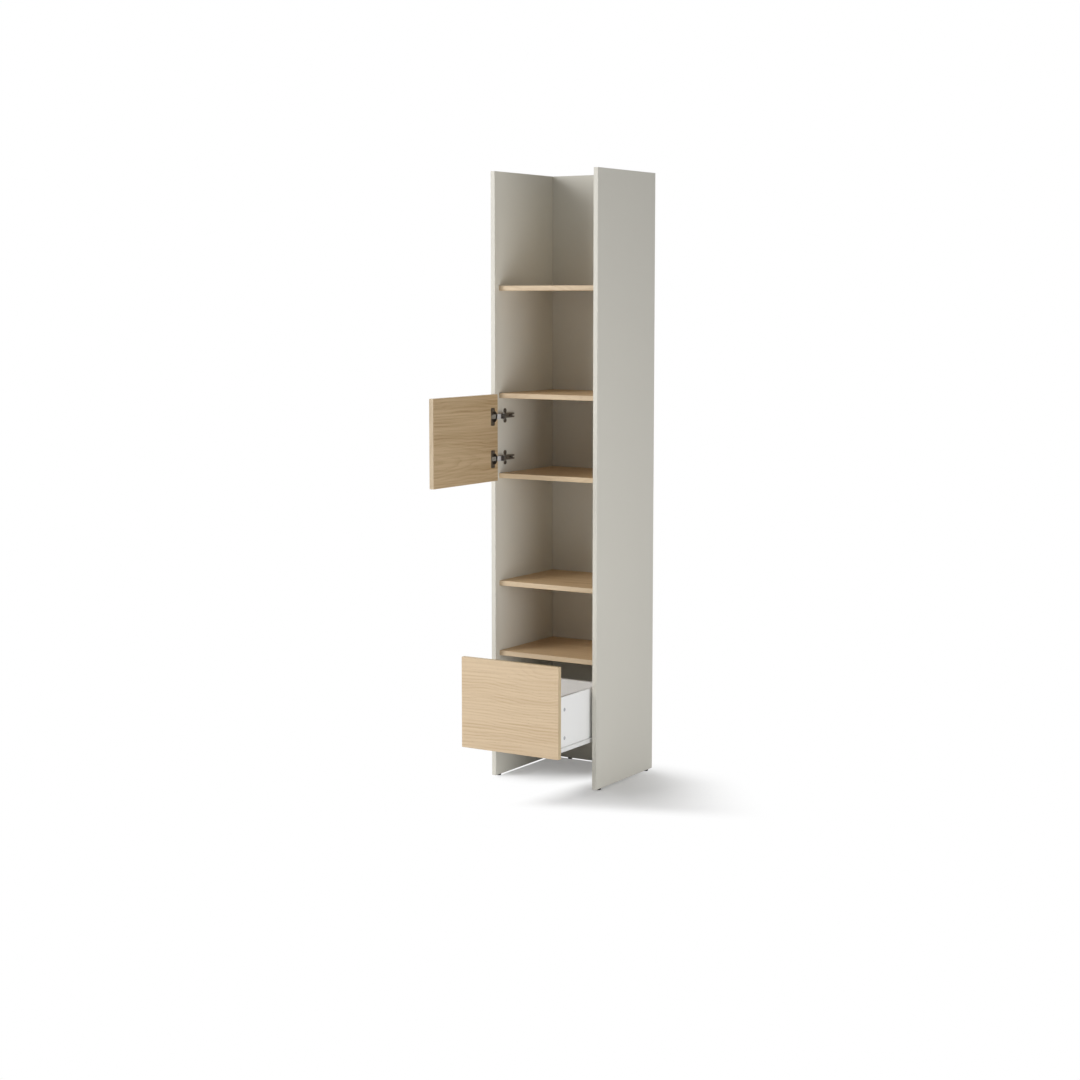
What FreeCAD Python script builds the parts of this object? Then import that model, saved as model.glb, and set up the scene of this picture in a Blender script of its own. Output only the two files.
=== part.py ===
import FreeCAD, Part
import math
import os
from types import SimpleNamespace

import Sketcher

# Tall storage cabinet, in millimetres. X runs to the right, Y to the back and Z up. The origin lies on
# the floor, under the middle of the front edges. The door stands a quarter turn open and the drawer is
# pulled out, as at rest. A closed front is flush with the front edges of the side panels.

SIZES = [
    # Carcass
    ("width", 400.0, "outside width over both side panels"),
    ("depth", 370.0, "depth of the side panels"),
    ("height", 1980.0, "floor to the top of the panels"),
    ("board", 16.0, "thickness of every carcass board, door and drawer front"),
    ("edge_round", 1.0, "rounding of the exposed board edges"),
    ("shelf_setback", 23.0, "shelf fronts behind the front edges of the side panels"),
    ("second_bay", 331.0, "clear height above the second shelf"),
    ("door_bay", 245.0, "clear height behind the door"),
    ("fourth_bay", 338.0, "clear height above the fourth shelf"),
    ("fifth_bay", 216.0, "clear height above the fifth shelf"),
    ("drawer_bay", 405.0, "floor to the underside of the fifth shelf"),
    # Glides
    ("glide_height", 5.0, "height of a nail-on glide, and the gap under the panels"),
    ("glide_radius", 8.0, "radius of a glide's foot"),
    ("glide_bevel", 1.5, "bevel round a glide's foot"),
    ("glide_inset", 29.0, "side glides in from the front and rear edges"),
    ("back_glide_inset", 68.0, "back glides in from the side panels"),
    ("nail_radius", 1.0, "radius of a glide's nail"),
    ("nail_length", 14.0, "length of a glide's nail in the board"),
    # Cam fittings
    ("cam_radius", 7.5, "radius of a shelf cam"),
    ("cam_length", 12.5, "length of a shelf cam"),
    ("cam_reach", 34.0, "shelf cam's middle in from the joint"),
    ("cam_inset", 50.0, "shelf cams in from a shelf's front and rear edges"),
    ("back_cam_inset", 118.5, "upper and lower back panel fittings in from the panel's ends"),
    ("bolt_thread_radius", 2.5, "radius of a cam bolt's thread"),
    ("bolt_thread_length", 11.0, "length of a cam bolt's thread"),
    ("bolt_shank_radius", 3.0, "radius of a cam bolt's shank"),
    ("bolt_neck_radius", 1.8, "radius of a cam bolt's neck"),
    ("bolt_neck_length", 3.0, "length of a cam bolt's neck"),
    ("bolt_head_radius", 3.5, "radius of a cam bolt's head"),
    ("bolt_head_length", 4.0, "length of a cam bolt's head"),
    ("play", 0.1, "clearance round a fitting in its bore"),
    # Door and hinges
    ("front_gap", 2.0, "gap beside the door and the drawer front"),
    ("door_top_reveal", 2.0, "door top below the top face of the second shelf"),
    ("door_bottom_drop", 6.0, "door bottom below the underside of the third shelf"),
    ("pivot_inset", 3.0, "door's turning axis behind the inner face of the side panel"),
    ("pivot_front", 1.0, "door's turning axis in front of the front edges"),
    ("hinge_inset", 72.0, "hinge centres in from the door's top and bottom"),
    ("cup_reach", 22.0, "cup's middle in from the door's hinge edge"),
    ("cup_radius", 17.5, "outer radius of a hinge cup"),
    ("cup_depth", 11.5, "depth of a hinge cup below the door's inner face"),
    ("cup_wall", 1.0, "wall of a hinge cup"),
    ("rim_width", 1.2, "rim of a hinge cup beyond its body"),
    ("flange_thickness", 1.2, "thickness of a cup's flange"),
    ("flange_length", 58.0, "length of a cup's flange"),
    ("flange_width", 18.0, "width of a cup's flange"),
    ("flange_shift", 5.5, "cup screws' line farther from the door's edge than the cup's middle"),
    ("cup_screw_spacing", 42.0, "distance between a cup's two screws"),
    ("plate_thickness", 3.0, "thickness of a hinge's mounting plate"),
    ("plate_place", 56.0, "plate screws' line behind the front edges"),
    ("plate_screw_spacing", 32.0, "distance between a plate's two screws"),
    ("wing_radius", 7.5, "radius of a plate's wing ends"),
    ("wing_neck", 9.0, "width of a plate's wings between their ends and its middle"),
    ("arm_width", 15.0, "width of a hinge arm"),
    ("arm_rear", 99.0, "rear end of a hinge arm behind the front edges"),
    ("arm_front", 38.0, "front end of an arm's seat on its plate"),
    ("crank_front", 30.0, "front end of the slope from an arm's nose down to its spine"),
    ("arm_height", 10.5, "top of a hinge arm above the side panel"),
    ("yoke_width", 21.0, "width of an arm's yoke"),
    ("nose_radius", 3.2, "radius of an arm's nose round the link's pin"),
    ("nose_height", 19.0, "link's pin above the side panel"),
    ("nose_place", 20.0, "link's pin behind the front edges"),
    ("slot_width", 4.6, "width of the slot in an arm's rear end"),
    ("slot_length", 33.0, "length of the slot in an arm's rear end"),
    ("link_width", 16.0, "width of a hinge link"),
    ("link_thickness", 2.0, "thickness of a hinge link"),
    ("link_length", 32.0, "outer link from its pin to its free end"),
    ("link_lean", 4.5, "outer link's lean towards the door, in degrees"),
    ("link_gap", 0.4, "side clearance between an outer link and the yoke"),
    ("pin_radius", 1.2, "radius of a link's pin"),
    ("pin_play", 0.05, "running clearance round a link's pin"),
    # Screws
    ("screw_radius", 1.75, "shank radius of the wood screws"),
    ("screw_head_radius", 3.5, "head radius of the wood screws"),
    ("screw_head", 1.6, "head thickness of the hinge screws"),
    ("rail_screw_head", 0.8, "head thickness of the runner screws"),
    ("screw_length", 11.0, "shank length of the hinge and runner screws"),
    ("back_screw_length", 32.0, "shank length of the drawer back's screws"),
    ("recess_width", 0.9, "width of the cross recess in a screw's head"),
    # Drawer
    ("drawer_front_height", 294.0, "height of the drawer front"),
    ("drawer_front_rise", 13.0, "drawer front's top above the fifth shelf"),
    ("box_drop", 72.5, "drawer box's top below the fifth shelf"),
    ("box_height", 175.0, "height of the drawer box"),
    ("box_board", 12.0, "thickness of the drawer box's boards"),
    ("bottom_thickness", 4.0, "thickness of the drawer bottom"),
    ("groove_rise", 12.0, "drawer bottom's underside above the box's lower edge"),
    ("groove_depth", 6.0, "depth of the groove round the drawer bottom"),
    ("groove_play", 0.3, "drawer bottom short of the groove's end"),
    ("drawer_cam_radius", 6.0, "radius of a drawer cam"),
    ("drawer_cam_length", 10.0, "length of a drawer cam"),
    ("drawer_cam_reach", 38.0, "drawer cam's middle behind the drawer front"),
    ("drawer_cam_inset", 42.0, "drawer cams in from the box's top and bottom"),
    # Runners
    ("runner_gap", 12.5, "drawer box to side panel"),
    ("rail_sheet", 1.2, "sheet thickness of the runners"),
    ("rail_setback", 1.0, "cabinet rail behind the closed drawer front"),
    ("rail_rear_gap", 37.0, "cabinet rail's rear end in front of the back panel"),
    ("rail_lip", 9.0, "width of the cabinet rail's lips"),
    ("rail_mouth", 26.0, "front end of a cabinet rail without lips"),
    ("drawer_lip", 7.8, "width of the drawer rail's upper lip"),
    ("lip_rise", 13.5, "drawer rail's upper lip above the drawer side's lower edge"),
    ("lip_play", 1.0, "cabinet rail's upper lip above the drawer rail"),
    ("roller_radius", 10.0, "radius of a roller"),
    ("roller_width", 7.0, "width of a roller"),
    ("roller_inset", 12.0, "roller's axle in from its rail's end"),
    ("axle_spacing", 72.0, "between a runner's front and rear axles while the drawer is out"),
    ("roller_spacer", 0.9, "roller clear of its rail"),
    ("roller_play", 0.05, "running clearance of a roller"),
    ("axle_radius", 2.0, "radius of a roller's axle"),
    ("axle_head_radius", 3.5, "radius of an axle's head"),
    ("axle_head", 1.0, "thickness of an axle's head"),
    ("rail_screw_inset", 60.0, "first and last runner screw in from the rail's ends"),
    # Construction
    ("overrun", 5.0, "how far a cut runs past the wood or metal"),
]

eye_wall_share = 0.75  # wall of an outer link's eye, of the link's thickness
floor_end_share = -0.55  # inner link's lower end, of the cup's inner radius, towards the door's free edge
floor_bend_share = -0.25  # inner link's lower bend, of the cup's inner radius
rim_bend_share = 0.6  # inner link's upper bend, of the cup's inner radius, towards the door's hinge edge
rim_end_share = 0.76  # inner link's upper end, of the cup's inner radius
tiny = 1e-6

doc = FreeCAD.newDocument("tall_storage_cabinet")
sheet = doc.addObject("Spreadsheet::Sheet", "Sizes")
for row, (alias, value, meaning) in enumerate(SIZES, 1):
    sheet.set(f"A{row}", meaning)
    sheet.set(f"B{row}", str(value))
    sheet.setAlias(f"B{row}", alias)
doc.recompute()


class Size:
    """A size that knows its number, for outlines, and the expression that gives it, for bound properties."""

    def __init__(self, number, text):
        self.number = number
        self.text = text

    def __add__(self, other):
        other = size(other)
        return Size(self.number + other.number, f"({self.text} + {other.text})")

    def __sub__(self, other):
        other = size(other)
        return Size(self.number - other.number, f"({self.text} - {other.text})")

    def __mul__(self, other):
        other = size(other)
        return Size(self.number * other.number, f"({self.text} * {other.text})")

    def __truediv__(self, other):
        other = size(other)
        return Size(self.number / other.number, f"({self.text} / {other.text})")

    def __neg__(self):
        return Size(-self.number, f"(-{self.text})")

    __radd__ = __add__
    __rmul__ = __mul__


def size(value):
    """The value itself if it is a Size, or else the plain number as one."""
    return value if isinstance(value, Size) else Size(float(value), repr(float(value)))


S = SimpleNamespace(**{alias: Size(float(sheet.get(alias)), f"Sizes.{alias}") for alias, _, _ in SIZES})
NONE = size(0)

# Placement rotations: a fitting's own X axis turned to point along another axis.
ALONG_X = FreeCAD.Rotation()
ALONG_Y = FreeCAD.Rotation(FreeCAD.Vector(0, 0, 1), 90)
ALONG_Z = FreeCAD.Rotation(FreeCAD.Vector(0, 1, 0), -90)
BACK_X = FreeCAD.Rotation(FreeCAD.Vector(0, 0, 1), 180)
QUARTER_OPEN = FreeCAD.Rotation(FreeCAD.Vector(0, 0, 1), -90)

nodes = []


# Helpers for the document's objects


def bind(item, name, value):
    """Binds a property to the expression of a size."""
    item.setExpression(name, size(value).text)


def place(item, x, y, z, turn=ALONG_X):
    item.Placement = FreeCAD.Placement(FreeCAD.Vector(), turn)
    for axis, value in zip("xyz", (x, y, z)):
        bind(item, f"Placement.Base.{axis}", value)


def new_body(label, keep=True):
    body = doc.addObject("PartDesign::Body", label)
    body.Label = label
    if keep:
        nodes.append(body)
    return body


def sketch_on(body, role, lift=NONE):
    """A sketch on one of the body's own planes, moved along the axis that the plane faces."""
    plane = next(item for item in body.Origin.OriginFeatures if item.Role == role)
    sketch = body.newObject("Sketcher::SketchObject", f"{body.Name}_sketch")
    sketch.AttachmentSupport = [(plane, "")]
    sketch.MapMode = "FlatFace"
    bind(sketch, "AttachmentOffset.Base.z", -lift if role == "XZ_Plane" else lift)
    return sketch


def fix_point(sketch, item, end, u, v):
    for kind, value, axis in (("DistanceX", u, -2), ("DistanceY", v, -1)):
        value = size(value)
        if value.number == 0:
            sketch.addConstraint(Sketcher.Constraint("PointOnObject", item, end, axis))
        else:
            index = sketch.addConstraint(Sketcher.Constraint(kind, -1, 1, item, end, value.number))
            sketch.setExpression(f"Constraints[{index}]", value.text)


def outline(sketch, points):
    """A closed outline of straight lines through the given points."""
    points = [(size(u), size(v)) for u, v in points]
    first = sketch.GeometryCount
    for (u, v), (next_u, next_v) in zip(points, points[1:] + points[:1]):
        start = FreeCAD.Vector(u.number, v.number, 0)
        end = FreeCAD.Vector(next_u.number, next_v.number, 0)
        sketch.addGeometry(Part.LineSegment(start, end), False)
    for index, (u, v) in enumerate(points):
        follower = first + (index + 1) % len(points)
        sketch.addConstraint(Sketcher.Constraint("Coincident", first + index, 2, follower, 1))
        fix_point(sketch, first + index, 1, u, v)


def rectangle(sketch, u, v, wide, tall):
    u, v = size(u), size(v)
    outline(sketch, [(u, v), (u + wide, v), (u + wide, v + tall), (u, v + tall)])


def circle(sketch, u, v, radius):
    u, v = size(u), size(v)
    centre = FreeCAD.Vector(u.number, v.number, 0)
    item = sketch.addGeometry(Part.Circle(centre, FreeCAD.Vector(0, 0, 1), radius.number), False)
    fix_point(sketch, item, 3, u, v)
    index = sketch.addConstraint(Sketcher.Constraint("Radius", item, radius.number))
    sketch.setExpression(f"Constraints[{index}]", radius.text)


def pad(body, sketch, length, both_ways=False):
    """Extrudes a sketch along the axis that its plane faces, or half to each side of it."""
    feature = body.newObject("PartDesign::Pad", f"{body.Name}_pad")
    feature.Profile = sketch
    if both_ways:
        feature.SideType = "Symmetric"
    bind(feature, "Length", length)
    doc.recompute()
    return feature


def pocket(body, sketch, depth, toward, both_ways=False):
    """Cuts a sketch into the body, toward +1 or -1 along the axis that its plane lies across."""
    before = body.Shape.Volume
    feature = body.newObject("PartDesign::Pocket", f"{body.Name}_pocket")
    feature.Profile = sketch
    facing = -1 if sketch.AttachmentSupport[0][0].Role == "XZ_Plane" else 1
    if both_ways:
        feature.SideType = "Symmetric"
    else:
        feature.Reversed = toward == facing
    bind(feature, "Length", depth)
    doc.recompute()
    if body.Shape.Volume > before - tiny:
        raise ValueError(f"a pocket in {body.Label} cuts nothing")
    return feature


def bores(body, role, lift, toward, depth, radius, spots):
    sketch = sketch_on(body, role, lift)
    for u, v in spots:
        circle(sketch, u, v, radius)
    pocket(body, sketch, depth, toward)


def soften(body, radius, test=lambda middle, box: True):
    """Rounds the edges of the body's last feature whose middle point passes the test."""
    base = body.Tip
    box = base.Shape.BoundBox
    names = []
    for index, edge in enumerate(base.Shape.Edges, 1):
        if test(edge.CenterOfMass, box):
            names.append(f"Edge{index}")
    feature = body.newObject("PartDesign::Fillet", f"{body.Name}_fillet")
    feature.Base = (base, names)
    bind(feature, "Radius", radius)
    doc.recompute()


def new_board(label, x, y, z, rounded=None):
    """A flat board with its corner at the body's origin, and the edges that pass the test rounded."""
    body = new_body(label)
    sketch = sketch_on(body, "XY_Plane")
    rectangle(sketch, NONE, NONE, x, y)
    pad(body, sketch, z)
    if rounded:
        soften(body, S.edge_round, rounded)
    return body


def turned(label, profile, keep=True):
    """A piece turned about its own X axis from the half outline above that axis."""
    body = new_body(label, keep)
    sketch = sketch_on(body, "XY_Plane")
    outline(sketch, profile)
    feature = body.newObject("PartDesign::Revolution", f"{body.Name}_turn")
    feature.Profile = sketch
    feature.ReferenceAxis = (sketch, ["H_Axis"])
    feature.Angle = 360
    doc.recompute()
    return body


def group(label, original, places):
    """Copies of one fitting that share a node: each place is x, y, z and a rotation."""
    copies = []
    for x, y, z, turn in places:
        copy = original.Shape.copy()
        base = FreeCAD.Vector(size(x).number, size(y).number, size(z).number)
        copy.Placement = FreeCAD.Placement(base, turn)
        copies.append(copy)
    item = doc.addObject("Part::Feature", label)
    item.Label = label
    item.Shape = Part.makeCompound(copies)
    item.Placement = FreeCAD.Placement()
    nodes.append(item)
    return item


def mirrored(label, source):
    """The same piece on the other side of the cabinet's middle plane."""
    item = doc.addObject("Part::Mirroring", label)
    item.Label = label
    item.Source = source
    item.Normal = (1, 0, 0)
    nodes.append(item)
    doc.recompute()
    return item


# Places that several pieces share

half = S.width / 2
inner = half - S.board
inner_width = inner * 2
panel_height = S.height - S.glide_height
back_front = S.depth - S.board
shelf_depth = back_front - S.shelf_setback

shelf_bottoms = [S.drawer_bay]
for bay in (S.fifth_bay, S.fourth_bay, S.door_bay, S.second_bay):
    shelf_bottoms.append(shelf_bottoms[-1] + S.board + bay)
shelf_bottoms.reverse()  # the shelves are numbered from the top
door_shelf_top = shelf_bottoms[1] + S.board

door_width = inner_width - S.front_gap * 2
door_top = door_shelf_top - S.door_top_reveal
door_bottom = shelf_bottoms[2] - S.door_bottom_drop
door_height = door_top - door_bottom
hinge_heights = {"upper": door_top - S.hinge_inset, "lower": door_bottom + S.hinge_inset}
pivot_x = -inner - S.pivot_inset
pivot_y = -S.pivot_front
door_hinge_x = -inner + S.front_gap  # the door's hinge edge when it is closed
door_base_x = pivot_x - pivot_y
door_base_y = pivot_y + pivot_x - door_hinge_x
door_face_x = door_base_x + S.board  # the door's inner face when it is open
cup_y = door_base_y - S.cup_reach
cup_screw_y = cup_y - S.flange_shift

rail_y = S.board + S.rail_setback
rail_length = back_front - rail_y - S.rail_rear_gap
front_roller_y = rail_y + S.roller_inset
rear_roller_y = front_roller_y + S.axle_spacing
box_length = rail_length  # the drawer sides are as long as their runners
box_y = rear_roller_y + S.roller_inset - box_length
front_y = box_y - S.board
box_top = shelf_bottoms[4] - S.box_drop
box_bottom = box_top - S.box_height
box_outer = inner - S.runner_gap
box_inner = box_outer - S.box_board
front_top = shelf_bottoms[4] + S.board + S.drawer_front_rise
front_bottom = front_top - S.drawer_front_height
groove_height = S.bottom_thickness + S.play
back_y = box_y + box_length - S.box_board

lip_under = box_bottom + S.lip_rise
roller_z = lip_under - S.roller_play - S.roller_radius
rail_floor = roller_z - S.roller_radius - S.roller_play
rail_bottom = rail_floor - S.rail_sheet
rail_roof = lip_under + S.rail_sheet + S.lip_play
rail_height = rail_roof + S.rail_sheet - rail_bottom
rail_screw_places = (S.rail_screw_inset, rail_length / 2, rail_length - S.rail_screw_inset)

bolt_hole = S.bolt_thread_radius + S.play / 2
screw_hole = S.screw_radius + S.play / 2
shelf_bolt_rows = (S.shelf_setback + S.cam_inset, back_front - S.cam_inset)
panel_bolt_y = S.depth - S.board / 2
back_cam_heights = (
    S.glide_height + S.back_cam_inset,
    shelf_bottoms[2] + S.board / 2,
    S.height - S.back_cam_inset,
)


# Side panels


def side_panel(label, x, face, toward):
    """One side panel, bored on its inner face for the bolts, the runner and, on the left, the hinges."""
    body = new_board(label, S.board, S.depth, panel_height, lambda middle, box: True)
    spots = []
    for bottom in shelf_bottoms:
        for y in shelf_bolt_rows:
            spots.append((y, bottom + S.board / 2 - S.glide_height))
    for z in back_cam_heights:
        spots.append((panel_bolt_y, z - S.glide_height))
    bores(body, "YZ_Plane", face, toward, S.bolt_thread_length + S.play, bolt_hole, spots)
    spots = [(rail_y + y, roller_z - S.glide_height) for y in rail_screw_places]
    if label == "left_side_panel":
        for z in hinge_heights.values():
            for side in (-1, 1):
                spots.append((S.plate_place, z - S.glide_height + S.plate_screw_spacing * side / 2))
    bores(body, "YZ_Plane", face, toward, S.screw_length + S.play, screw_hole, spots)
    spots = [(S.board / 2, S.glide_inset), (S.board / 2, S.depth - S.glide_inset)]
    bores(body, "XY_Plane", NONE, 1, S.nail_length + S.play, S.nail_radius + S.play / 2, spots)
    place(body, x, NONE, S.glide_height)


side_panel("left_side_panel", -half, S.board, -1)
side_panel("right_side_panel", inner, NONE, 1)


# Back panel


def back_panel():
    """The board between the side panels, held by cams let into its rear face."""
    at_top_or_bottom = lambda middle, box: min(middle.z - box.ZMin, box.ZMax - middle.z) < tiny
    body = new_board(
        "back_panel",
        inner_width,
        S.board,
        panel_height,
        lambda middle, box: at_top_or_bottom(middle, box) and abs(middle.x - box.Center.x) < tiny,
    )
    heights = [z - S.glide_height for z in back_cam_heights]
    cams = []
    for z in heights:
        cams.append((S.cam_reach, z))
        cams.append((inner_width - S.cam_reach, z))
    bores(body, "XZ_Plane", S.board, -1, S.cam_length + S.play, S.cam_radius + S.play, cams)
    ends = [(S.board / 2, z) for z in heights]
    radius = S.bolt_head_radius + S.play
    bores(body, "YZ_Plane", NONE, 1, S.cam_reach, radius, ends)
    bores(body, "YZ_Plane", inner_width, -1, S.cam_reach, radius, ends)
    feet = [(S.back_glide_inset, S.board / 2), (inner_width - S.back_glide_inset, S.board / 2)]
    bores(body, "XY_Plane", NONE, 1, S.nail_length + S.play, S.nail_radius + S.play / 2, feet)
    place(body, -inner, back_front, S.glide_height)


back_panel()


# Shelves


def shelf(number, bottom):
    """One shelf, with four cams let into its underside and bolt holes in its two ends."""
    at_front = lambda middle, box: middle.y - box.YMin < tiny and abs(middle.x - box.Center.x) < tiny
    body = new_board(f"shelf_{number}", inner_width, shelf_depth, S.board, at_front)
    rows = (S.cam_inset, shelf_depth - S.cam_inset)
    cams = []
    for y in rows:
        cams.append((S.cam_reach, y))
        cams.append((inner_width - S.cam_reach, y))
    bores(body, "XY_Plane", NONE, 1, S.cam_length + S.play, S.cam_radius + S.play, cams)
    ends = [(y, S.board / 2) for y in rows]
    radius = S.bolt_head_radius + S.play
    bores(body, "YZ_Plane", NONE, 1, S.cam_reach, radius, ends)
    bores(body, "YZ_Plane", inner_width, -1, S.cam_reach, radius, ends)
    place(body, -inner, S.shelf_setback, bottom)


for number, bottom in enumerate(shelf_bottoms, 1):
    shelf(number, bottom)


# Cam fittings of the carcass


def cam(label, radius, length, axis_depth):
    """A cam with its face at X = 0 and its length along X, slotted for a bolt that comes along +Y."""
    body = turned(label, [(NONE, NONE), (length, NONE), (length, radius), (NONE, radius)], keep=False)
    slot_radius = S.bolt_head_radius + S.play
    sketch = sketch_on(body, "XZ_Plane", -(radius + S.overrun))
    rectangle(sketch, axis_depth - slot_radius, -slot_radius, slot_radius * 2, slot_radius * 2)
    pocket(body, sketch, radius + S.overrun + S.bolt_head_length / 2 + S.play, 1)
    sketch = sketch_on(body, "YZ_Plane", NONE)
    rectangle(sketch, -radius / 2, -S.recess_width / 2, radius, S.recess_width)
    pocket(body, sketch, S.recess_width, 1)
    return body


def cam_bolt(label, reach):
    """A cam bolt: its thread reaches to negative X, its head to the cam's middle at the given reach."""
    head_start = reach - S.bolt_head_length / 2
    profile = [
        (-S.bolt_thread_length, NONE),
        (-S.bolt_thread_length, S.bolt_thread_radius),
        (NONE, S.bolt_thread_radius),
        (NONE, S.bolt_shank_radius),
        (head_start - S.bolt_neck_length, S.bolt_shank_radius),
        (head_start - S.bolt_neck_length, S.bolt_neck_radius),
        (head_start, S.bolt_neck_radius),
        (head_start, S.bolt_head_radius),
        (head_start + S.bolt_head_length, S.bolt_head_radius),
        (head_start + S.bolt_head_length, NONE),
    ]
    return turned(label, profile, keep=False)




def aim(into, bolt):
    """The rotation that turns a cam's X axis into its board and its Y axis away from the bolt's foot."""
    return FreeCAD.Rotation(FreeCAD.Vector(*into), FreeCAD.Vector(*bolt), FreeCAD.Vector(), "XYZ")


UP_FROM_LEFT = aim((0, 0, 1), (1, 0, 0))
UP_FROM_RIGHT = aim((0, 0, 1), (-1, 0, 0))
FORWARD_FROM_LEFT = aim((0, -1, 0), (1, 0, 0))
FORWARD_FROM_RIGHT = aim((0, -1, 0), (-1, 0, 0))

shelf_cam = cam("shelf_cam", S.cam_radius, S.cam_length, S.board / 2)
shelf_bolt = cam_bolt("shelf_cam_bolt", S.cam_reach)
cam_places = []
bolt_places = []
for bottom in shelf_bottoms:
    for y in shelf_bolt_rows:
        cam_places.append((-inner + S.cam_reach, y, bottom, UP_FROM_LEFT))
        cam_places.append((inner - S.cam_reach, y, bottom, UP_FROM_RIGHT))
        bolt_places.append((-inner, y, bottom + S.board / 2, ALONG_X))
        bolt_places.append((inner, y, bottom + S.board / 2, BACK_X))
group("shelf_cams", shelf_cam, cam_places)
group("shelf_cam_bolts", shelf_bolt, bolt_places)

cam_places = []
bolt_places = []
for z in back_cam_heights:
    cam_places.append((-inner + S.cam_reach, S.depth, z, FORWARD_FROM_LEFT))
    cam_places.append((inner - S.cam_reach, S.depth, z, FORWARD_FROM_RIGHT))
    bolt_places.append((-inner, panel_bolt_y, z, ALONG_X))
    bolt_places.append((inner, panel_bolt_y, z, BACK_X))
group("back_panel_cams", shelf_cam, cam_places)
group("back_panel_cam_bolts", shelf_bolt, bolt_places)


# Glides

glide = turned(
    "glide",
    [
        (NONE, NONE),
        (NONE, S.glide_radius - S.glide_bevel),
        (S.glide_bevel, S.glide_radius),
        (S.glide_height, S.glide_radius),
        (S.glide_height, S.nail_radius),
        (S.glide_height + S.nail_length, S.nail_radius),
        (S.glide_height + S.nail_length, NONE),
    ],
    keep=False,
)
side_x = half - S.board / 2
places = []
for x in (-side_x, side_x):
    for y in (S.glide_inset, S.depth - S.glide_inset):
        places.append((x, y, NONE, ALONG_Z))
group("side_panel_glides", glide, places)
back_glide_x = inner - S.back_glide_inset
group("back_panel_glides", glide, [(x, panel_bolt_y, NONE, ALONG_Z) for x in (-back_glide_x, back_glide_x)])


# Door, with its hinge edge at X = 0 and its inner face at Y = board while it is closed


def door_panel():
    body = new_board("door_panel", door_width, S.board, door_height, lambda middle, box: True)
    cups = []
    screws = []
    for z in hinge_heights.values():
        cups.append((S.cup_reach, z - door_bottom))
        for side in (-1, 1):
            screws.append(
                (S.cup_reach + S.flange_shift, z - door_bottom + S.cup_screw_spacing * side / 2)
            )
    bores(body, "XZ_Plane", S.board, -1, S.cup_depth + S.play, S.cup_radius + S.play, cups)
    bores(body, "XZ_Plane", S.board, -1, S.screw_length - S.flange_thickness + S.play, screw_hole, screws)
    place(body, door_base_x, door_base_y, door_bottom, QUARTER_OPEN)


door_panel()


# Hinge cups and links, in the pose of the open door: their own X axis points out of the door


def hinge_cup(label, z):
    """A drawn steel cup with a flange on the door's inner face. Its own origin is under the cup's floor."""
    body = new_body(label)
    sketch = sketch_on(body, "YZ_Plane")
    circle(sketch, NONE, NONE, S.cup_radius)
    pad(body, sketch, S.cup_depth)
    soften(body, S.cup_wall, lambda middle, box: middle.x - box.XMin < tiny)
    sketch = sketch_on(body, "YZ_Plane", S.cup_depth)
    circle(sketch, NONE, NONE, S.cup_radius + S.rim_width)
    pad(body, sketch, S.flange_thickness)
    end_radius = S.flange_width / 2
    straight = S.flange_length - S.flange_width
    sketch = sketch_on(body, "YZ_Plane", S.cup_depth)
    rectangle(sketch, -S.flange_shift - end_radius, -straight / 2, S.flange_width, straight)
    pad(body, sketch, S.flange_thickness)
    for side in (-1, 1):
        sketch = sketch_on(body, "YZ_Plane", S.cup_depth)
        circle(sketch, -S.flange_shift, straight * side / 2, end_radius)
        pad(body, sketch, S.flange_thickness)
    sketch = sketch_on(body, "YZ_Plane", S.cup_depth + S.flange_thickness)
    circle(sketch, NONE, NONE, S.cup_radius - S.cup_wall)
    pocket(body, sketch, S.cup_depth + S.flange_thickness - S.cup_wall, -1)
    spots = [(-S.flange_shift, S.cup_screw_spacing * side / 2) for side in (-1, 1)]
    bores(body, "YZ_Plane", S.cup_depth + S.flange_thickness, -1, S.flange_thickness, screw_hole, spots)
    place(body, door_face_x - S.cup_depth, cup_y, z)


def inner_link(label, z):
    """The link folded into the cup: it rises from the cup's floor to its mouth near the door's edge."""
    body = new_body(label)
    mouth = S.cup_radius - S.cup_wall
    floor_end = mouth * floor_end_share
    floor_bend = mouth * floor_bend_share
    rim_end = mouth * rim_end_share
    rim_bend = mouth * rim_bend_share
    top = S.cup_depth
    sketch = sketch_on(body, "XY_Plane")
    outline(
        sketch,
        [
            (S.cup_wall, floor_end),
            (S.cup_wall + S.link_thickness, floor_end),
            (S.cup_wall + S.link_thickness, floor_bend),
            (top, rim_bend),
            (top, rim_end),
            (top - S.link_thickness, rim_end),
            (S.cup_wall, floor_bend),
        ],
    )
    pad(body, sketch, S.link_width - S.link_thickness, both_ways=True)
    place(body, door_face_x - S.cup_depth, cup_y, z)


def outer_link(label, z):
    """The link on the arm's pin, from the pin at its own origin towards the cup's mouth."""
    body = new_body(label)
    eye = S.pin_radius + S.link_thickness * eye_wall_share
    sketch = sketch_on(body, "XY_Plane")
    rectangle(sketch, -S.link_thickness / 2, -S.link_length, S.link_thickness, S.link_length)
    pad(body, sketch, S.link_width, both_ways=True)
    sketch = sketch_on(body, "XY_Plane")
    circle(sketch, NONE, NONE, eye)
    pad(body, sketch, S.link_width, both_ways=True)
    sketch = sketch_on(body, "XY_Plane")
    circle(sketch, NONE, NONE, S.pin_radius + S.pin_play)
    pocket(body, sketch, S.link_width + S.overrun, 1, both_ways=True)
    lean = FreeCAD.Rotation(FreeCAD.Vector(0, 0, 1), 0)
    place(body, -inner + S.nose_height, S.nose_place, z, lean)
    bind(body, "Placement.Rotation.Angle", -S.link_lean)


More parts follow.
